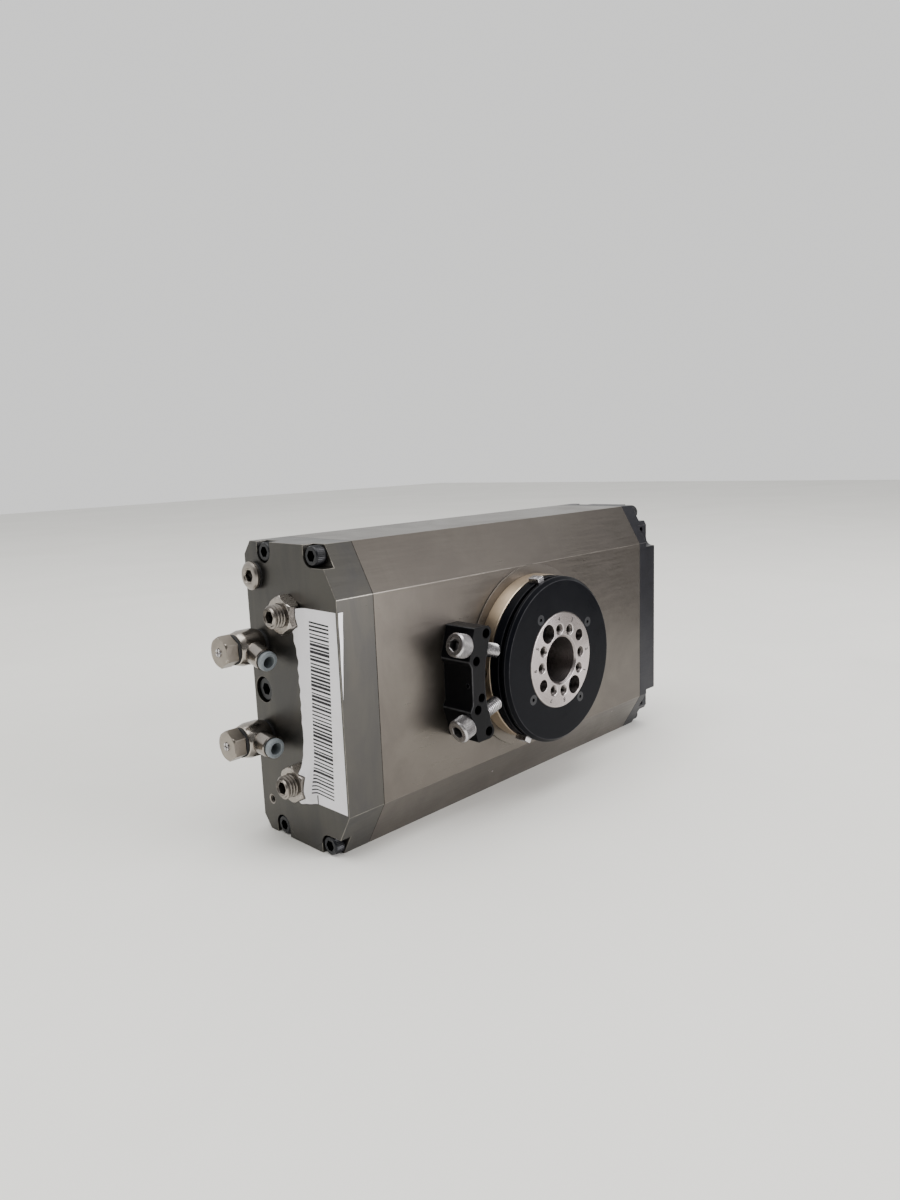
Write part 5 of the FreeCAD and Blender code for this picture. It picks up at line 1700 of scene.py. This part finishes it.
@dataclass(frozen=True)
class Curl:
    """A stretch of the label's left edge that curls up beside a nut.

    Attributes:
        height: height of the curl.
        level: level of its middle on the label.
        spread: half its length.
    """

    height: float
    level: float
    spread: float

    def rise(self, level: float) -> float:
        """Height of the curled edge at a level."""
        return self.height * exp(-((level - self.level) / self.spread) ** 2)


@dataclass
class PaperLabel:
    """Paper label on the near cap, curled along its left edge and folded over the cap's front edge.

    Attributes:
        thickness: thickness of the paper.
        step: size of the mesh's squares.
        gap: room under the paper.
        sharp: smallest fold that stays crisp, in degrees.
        nut_room: distance of the cut from a lock nut's axis, measured square to the nut's flats.
        nut_depth: level of the nuts, from the back.
        nut_height: height of the nuts above the middle.
        slit: place of the tear in the lower edge, from the label's middle.
        slit_top: height of the tear's upper end.
        slit_share: half the width of the tear, as a share of a square.
        merge_share: distance below which vertices at the cut are one, as a share of a square.
        waves: height and pace of the left edge's waves.
        wave_reach: reach of the waves from the left edge.
        upper_curl: curl beside the upper nut.
        lower_curl: curl beside the lower nut.
        ripple: height and pace of the lower curl's ripples.
        edge_rise: lift of the left edge between the nuts.
        curl_reach: reach of the curls from the left edge.
        crease: height of the fine creases.
        crease_pace: pace of the creases along the label and across it.
        crease_reach: reach of the creases from the left edge.
        fold_width: width of the paper folded over the front edge, at the top.
        fold_low: level at which the fold runs out.
        fold_start: distance of the fold from the front edge.
        fold_rise: lift of the folded paper.
        fold_pace: pace of its waves.
    """

    thickness: float = 0.16
    step: float = 0.8
    gap: float = 0.05
    sharp: float = 70.0
    nut_room: float = 9.5
    nut_depth: float = -38.0
    nut_height: float = 44.43
    slit: float = -7.6
    slit_top: float = -46.0
    slit_share: float = 0.7
    merge_share: float = 0.15
    waves: tuple[tuple[float, float], ...] = ((0.35, 0.37), (0.25, 0.9))
    wave_reach: float = 3.0
    upper_curl: Curl = Curl(height=4.2, level=51.0, spread=15.0)
    lower_curl: Curl = Curl(height=8.0, level=-42.5, spread=10.5)
    ripple: tuple[float, float] = (0.18, 1.3)
    edge_rise: float = 0.6
    curl_reach: float = 5.9
    crease: float = 0.45
    crease_pace: tuple[float, float] = (0.41, 0.3)
    crease_reach: float = 8.0
    fold_width: float = 2.8
    fold_low: float = 6.0
    fold_start: float = 0.7
    fold_rise: float = 0.15
    fold_pace: float = 0.3

    def build(self) -> None:
        """Make and dress the label."""
        low, high = node_box("inventory_label")
        middle = (low + high) / 2
        width, height = high.y - low.y, high.z - low.z
        made = self.sheet(width, height)
        self.cut_edges(made, middle)
        for vert in made.bm.verts:
            left = vert.co.x + width / 2
            wave = sum(size * sin(vert.co.y * pace) for size, pace in self.waves)
            vert.co.x += wave * exp(-left / self.wave_reach)
            vert.co.z = self.gap + self.lift(left, vert.co.y)
        piece = Piece("paper_label")
        piece.add(self.thicken(made), Placement((high.x, middle.y, middle.z), LEFT, FRONT))
        edge_x, edge_y, _ = node_box("near_end_cap")[0]
        fold_height = high.z - self.fold_low
        fold = self.sheet(self.fold_width, fold_height)
        for vert in fold.bm.verts:
            rise = vert.co.y / fold_height + 0.5
            vert.co.x = (vert.co.x + self.fold_width / 2) * rise + self.fold_start + width / 2
            vert.co.z = self.gap + self.fold_rise * rise * (1.0 + sin(vert.co.y * self.fold_pace))
        spot = (edge_x - width / 2, edge_y, (high.z + self.fold_low) / 2)
        piece.add(self.thicken(fold), Placement(spot, FRONT, RIGHT))
        piece.done(PAPER, "unit", "inventory_label", sharp=self.sharp)

    def sheet(self, width: float, height: float) -> Shape:
        """Lay out a flat sheet of small squares.

        Args:
            width: width of the sheet.
            height: height of the sheet.

        Returns:
            The sheet, about its middle.
        """
        made = Shape()
        bmesh.ops.create_grid(made.bm, x_segments=ceil(width / self.step),
                              y_segments=ceil(height / self.step), size=1.0,
                              matrix=Matrix.Diagonal((width / 2, height / 2, 1.0, 1.0)))
        return made

    def thicken(self, made: Shape) -> Shape:
        """Give a sheet the paper's thickness.

        Args:
            made: the flat sheet.

        Returns:
            The same sheet, as a thin solid.
        """
        made.outward()
        bmesh.ops.solidify(made.bm, geom=made.bm.faces[:], thickness=self.thickness)
        return made

    def cut_edges(self, made: Shape, middle: Vector) -> None:
        """Cut the label away along the lock nuts' flats, and tear its lower edge.

        Args:
            made: the label so far.
            middle: middle of the label on the unit.
        """
        across = middle.y - self.nut_depth
        nuts = [Vector((across, side.value * self.nut_height - middle.z)) for side in Side]
        gone = []
        for face in made.bm.faces:
            place = face.calc_center_median().xy
            torn = place.y < self.slit_top and abs(place.x - self.slit) < self.step * self.slit_share
            if torn or min(self.flat_distance(place - nut) for nut in nuts) < self.nut_room:
                gone.append(face)
        bmesh.ops.delete(made.bm, geom=gone, context="FACES")
        for vert in made.bm.verts:
            nut = min(nuts, key=lambda spot: (vert.co.xy - spot).length)
            reach = vert.co.xy - nut
            distance = self.flat_distance(reach)
            if vert.is_boundary and distance < self.nut_room + self.step:
                vert.co.xy = nut + reach * (self.nut_room / distance)
        bmesh.ops.remove_doubles(made.bm, verts=made.bm.verts[:], dist=self.step * self.merge_share)

    def flat_distance(self, reach: Vector) -> float:
        """Measure a place's distance from a nut's axis, square to the nearest flat."""
        return max(abs(reach.x), abs(reach.x) / 2 + abs(reach.y) * sin(radians(60.0)))

    def lift(self, left: float, level: float) -> float:
        """Give the label's height above the cap.

        Args:
            left: distance from the left edge.
            level: height from the label's middle.

        Returns:
            The lift, in millimetres.
        """
        size, pace = self.ripple
        along, across = self.crease_pace
        lower = self.lower_curl.rise(level) * (1.0 + size * sin(left * pace))
        crease = self.crease * sin(level * along + left * across) * exp(-left / self.crease_reach)
        curl = self.upper_curl.rise(level) + lower + self.edge_rise
        return curl * exp(-(left / self.curl_reach) ** 4) + max(crease, 0.0)


@dataclass(frozen=True)
class SoftLight:
    """A soft light that faces the unit and stays out of the picture.

    Attributes:
        name: name of the light.
        place: its place, in metres.
        size: its two sides, in metres.
        power: its power, in watts.
        colour: its colour.
    """

    name: str
    place: Point
    size: tuple[float, float]
    power: float
    colour: Colour

    def hang(self) -> None:
        """Hang the light."""
        data = bpy.data.lights.new(self.name, "AREA")
        data.shape = "RECTANGLE"
        data.size, data.size_y = self.size
        data.energy = self.power
        data.color = tone(*self.colour)[:3]
        lamp = bpy.data.objects.new(self.name, data)
        lamp.location = self.place
        lamp.rotation_euler = Vector(self.place).to_track_quat("Z", "Y").to_euler()
        lamp.visible_camera = False
        bpy.context.scene.collection.objects.link(lamp)


@dataclass
class Studio:
    """Camera, floor and light.

    Attributes:
        eye: place of the camera, in millimetres.
        azimuth: camera's turn round the unit, in degrees.
        elevation: camera's height above the horizon, in degrees.
        roll: camera's turn about its own axis, in degrees.
        focal: focal length, in millimetres.
        sensor: width of the sensor, in millimetres.
        nearest: nearest distance that is drawn, in metres.
        daylight: strength of the pale room.
        room_colour: colour of the pale room.
        dark_side: share of its light that comes from the camera's side.
        dark_range: start and end of the fall to that share, as cosines of the angle to the camera.
        lights: the two soft lights.
        flag_place: middle of the dark flag, in metres.
        flag_size: its height and length, in metres.
        floor_size: length of the floor's sides, in metres.
    """

    eye: Point = (-385.28, -389.336, 120.138)
    azimuth: float = -45.395
    elevation: float = 9.761
    roll: float = -2.242
    focal: float = 25.3576
    sensor: float = 36.0
    nearest: float = 0.01
    daylight: float = 1.28
    room_colour: Colour = (232, 232, 231)
    dark_side: float = 0.15
    dark_range: tuple[float, float] = (0.3, 0.85)
    lights: tuple[SoftLight, ...] = (
        SoftLight("key_light", (0.75, -1.6, 0.46), (1.2, 1.0), 40.0, (252, 250, 252)),
        SoftLight("sky_light", (-0.45, -0.15, 2.2), (2.0, 2.0), 53.0, (253, 252, 250)))
    flag_place: Point = (0.42, -0.42, 0.1)
    flag_size: tuple[float, float] = (0.36, 0.6)
    floor_size: float = 8.0

    def build(self) -> None:
        """Make the camera, the floor, the lights and the room."""
        self.camera()
        self.floor()
        for light in self.lights:
            light.hang()
        self.flag()
        self.room()

    def camera(self) -> None:
        """Set the camera where the photograph was taken from."""
        turn, rise, roll = (radians(value) for value in (self.azimuth, self.elevation, self.roll))
        back = Vector((sin(turn) * cos(rise), -cos(turn) * cos(rise), sin(rise)))
        level = Vector(UP).cross(back).normalized()
        upright = back.cross(level)
        right = level * cos(roll) + upright * sin(roll)
        upward = upright * cos(roll) - level * sin(roll)
        data = bpy.data.cameras.new("photo_camera")
        data.sensor_fit = "AUTO"
        data.sensor_width = self.sensor
        data.lens = self.focal
        data.clip_start = self.nearest
        camera = bpy.data.objects.new("photo_camera", data)
        camera.matrix_world = (Matrix.Translation(Vector(self.eye) * MM)
                               @ Matrix((right, upward, back)).transposed().to_4x4())
        bpy.context.scene.collection.objects.link(camera)
        bpy.context.scene.camera = camera

    def sheet(self, name: str, place: Matrix, size: tuple[float, float], finish: Finish) -> Object:
        """Make a flat sheet for the stage.

        Args:
            name: name of the sheet.
            place: its place and turn, in metres.
            size: its two sides, in metres.
            finish: its finish.

        Returns:
            The sheet.
        """
        shape = Shape()
        bmesh.ops.create_grid(shape.bm, x_segments=1, y_segments=1, size=1.0)
        mesh = bpy.data.meshes.new(name)
        shape.bm.to_mesh(mesh)
        mesh.transform(place @ Matrix.Diagonal((size[0] / 2, size[1] / 2, 1.0, 1.0)))
        mesh.materials.append(finish.material())
        made = bpy.data.objects.new(name, mesh)
        bpy.context.scene.collection.objects.link(made)
        return made

    def floor(self) -> None:
        """Lay a wide pale floor under the unit."""
        level = Matrix.Translation((0, 0, cad_box[0].z))
        floor = self.sheet("floor", level, (self.floor_size, self.floor_size), PALE_FLOOR)

    def flag(self) -> None:
        """Stand a dark sheet beside the unit that only shows in its gloss, as painted reflection shade."""
        upright = Matrix.Translation(self.flag_place) @ Matrix.Rotation(tau / 4, 4, "Y")
        flag = self.sheet("gloss_shade_flag", upright, self.flag_size, GLOSS_SHADE_SHEET)
        flag.visible_camera = False
        flag.visible_diffuse = False
        flag.visible_shadow = False

    def room(self) -> None:
        """Set a pale room that is darker on the camera's side."""
        world = bpy.data.worlds.new("studio_world")
        world.use_nodes = True
        canvas = Canvas(world.node_tree)
        way = canvas.add("ShaderNodeTexCoord").outputs["Generated"]
        near = canvas.add("ShaderNodeVectorMath", {0: way, 1: Vector(self.eye).normalized()},
                          operation="DOT_PRODUCT").outputs["Value"]
        shade = canvas.ramp(near, *self.dark_range, 1.0, self.dark_side)
        seen = canvas.add("ShaderNodeLightPath").outputs["Is Camera Ray"]
        strength = canvas.maths("MULTIPLY", canvas.maths("MAXIMUM", seen, shade), self.daylight)
        backdrop = world.node_tree.nodes["Background"]
        backdrop.inputs["Color"].default_value = tone(*self.room_colour)
        canvas.tree.links.new(strength, backdrop.inputs["Strength"])
        bpy.context.scene.world = world


def dress_remaining_nodes() -> None:
    """Give every CAD node that stays in sight the finish of its slot."""
    slots = {part: item["slot"] for item in frame["record"]["materials"] for part in item.get("nodes", [])}
    for name, node in frame["nodes"].items():
        if node.hide_render:
            continue
        slot = slots.get(name) or next(iter(node.data.materials)).name
        finish = SLOT_FINISHES.get(slot, BLACK_STEEL)
        node.data.materials.clear()
        node.data.materials.append(finish.material())
        log.info("node %s keeps its shape, finish %s", name, finish.name)


def main() -> None:
    """Build the studio and every sub-assembly in order."""
    logging.basicConfig(level=logging.INFO, format="%(message)s")
    parts = [Studio(), Blocks(), CapScrews(), Fittings(), SensorBracket(), OutputHead(), PaperLabel()]
    parts += [maker(side) for side in Side for maker in (EndStop, FlowElbow)]
    for part in parts:
        part.build()
    dress_remaining_nodes()


if __name__ == "__main__":
    main()
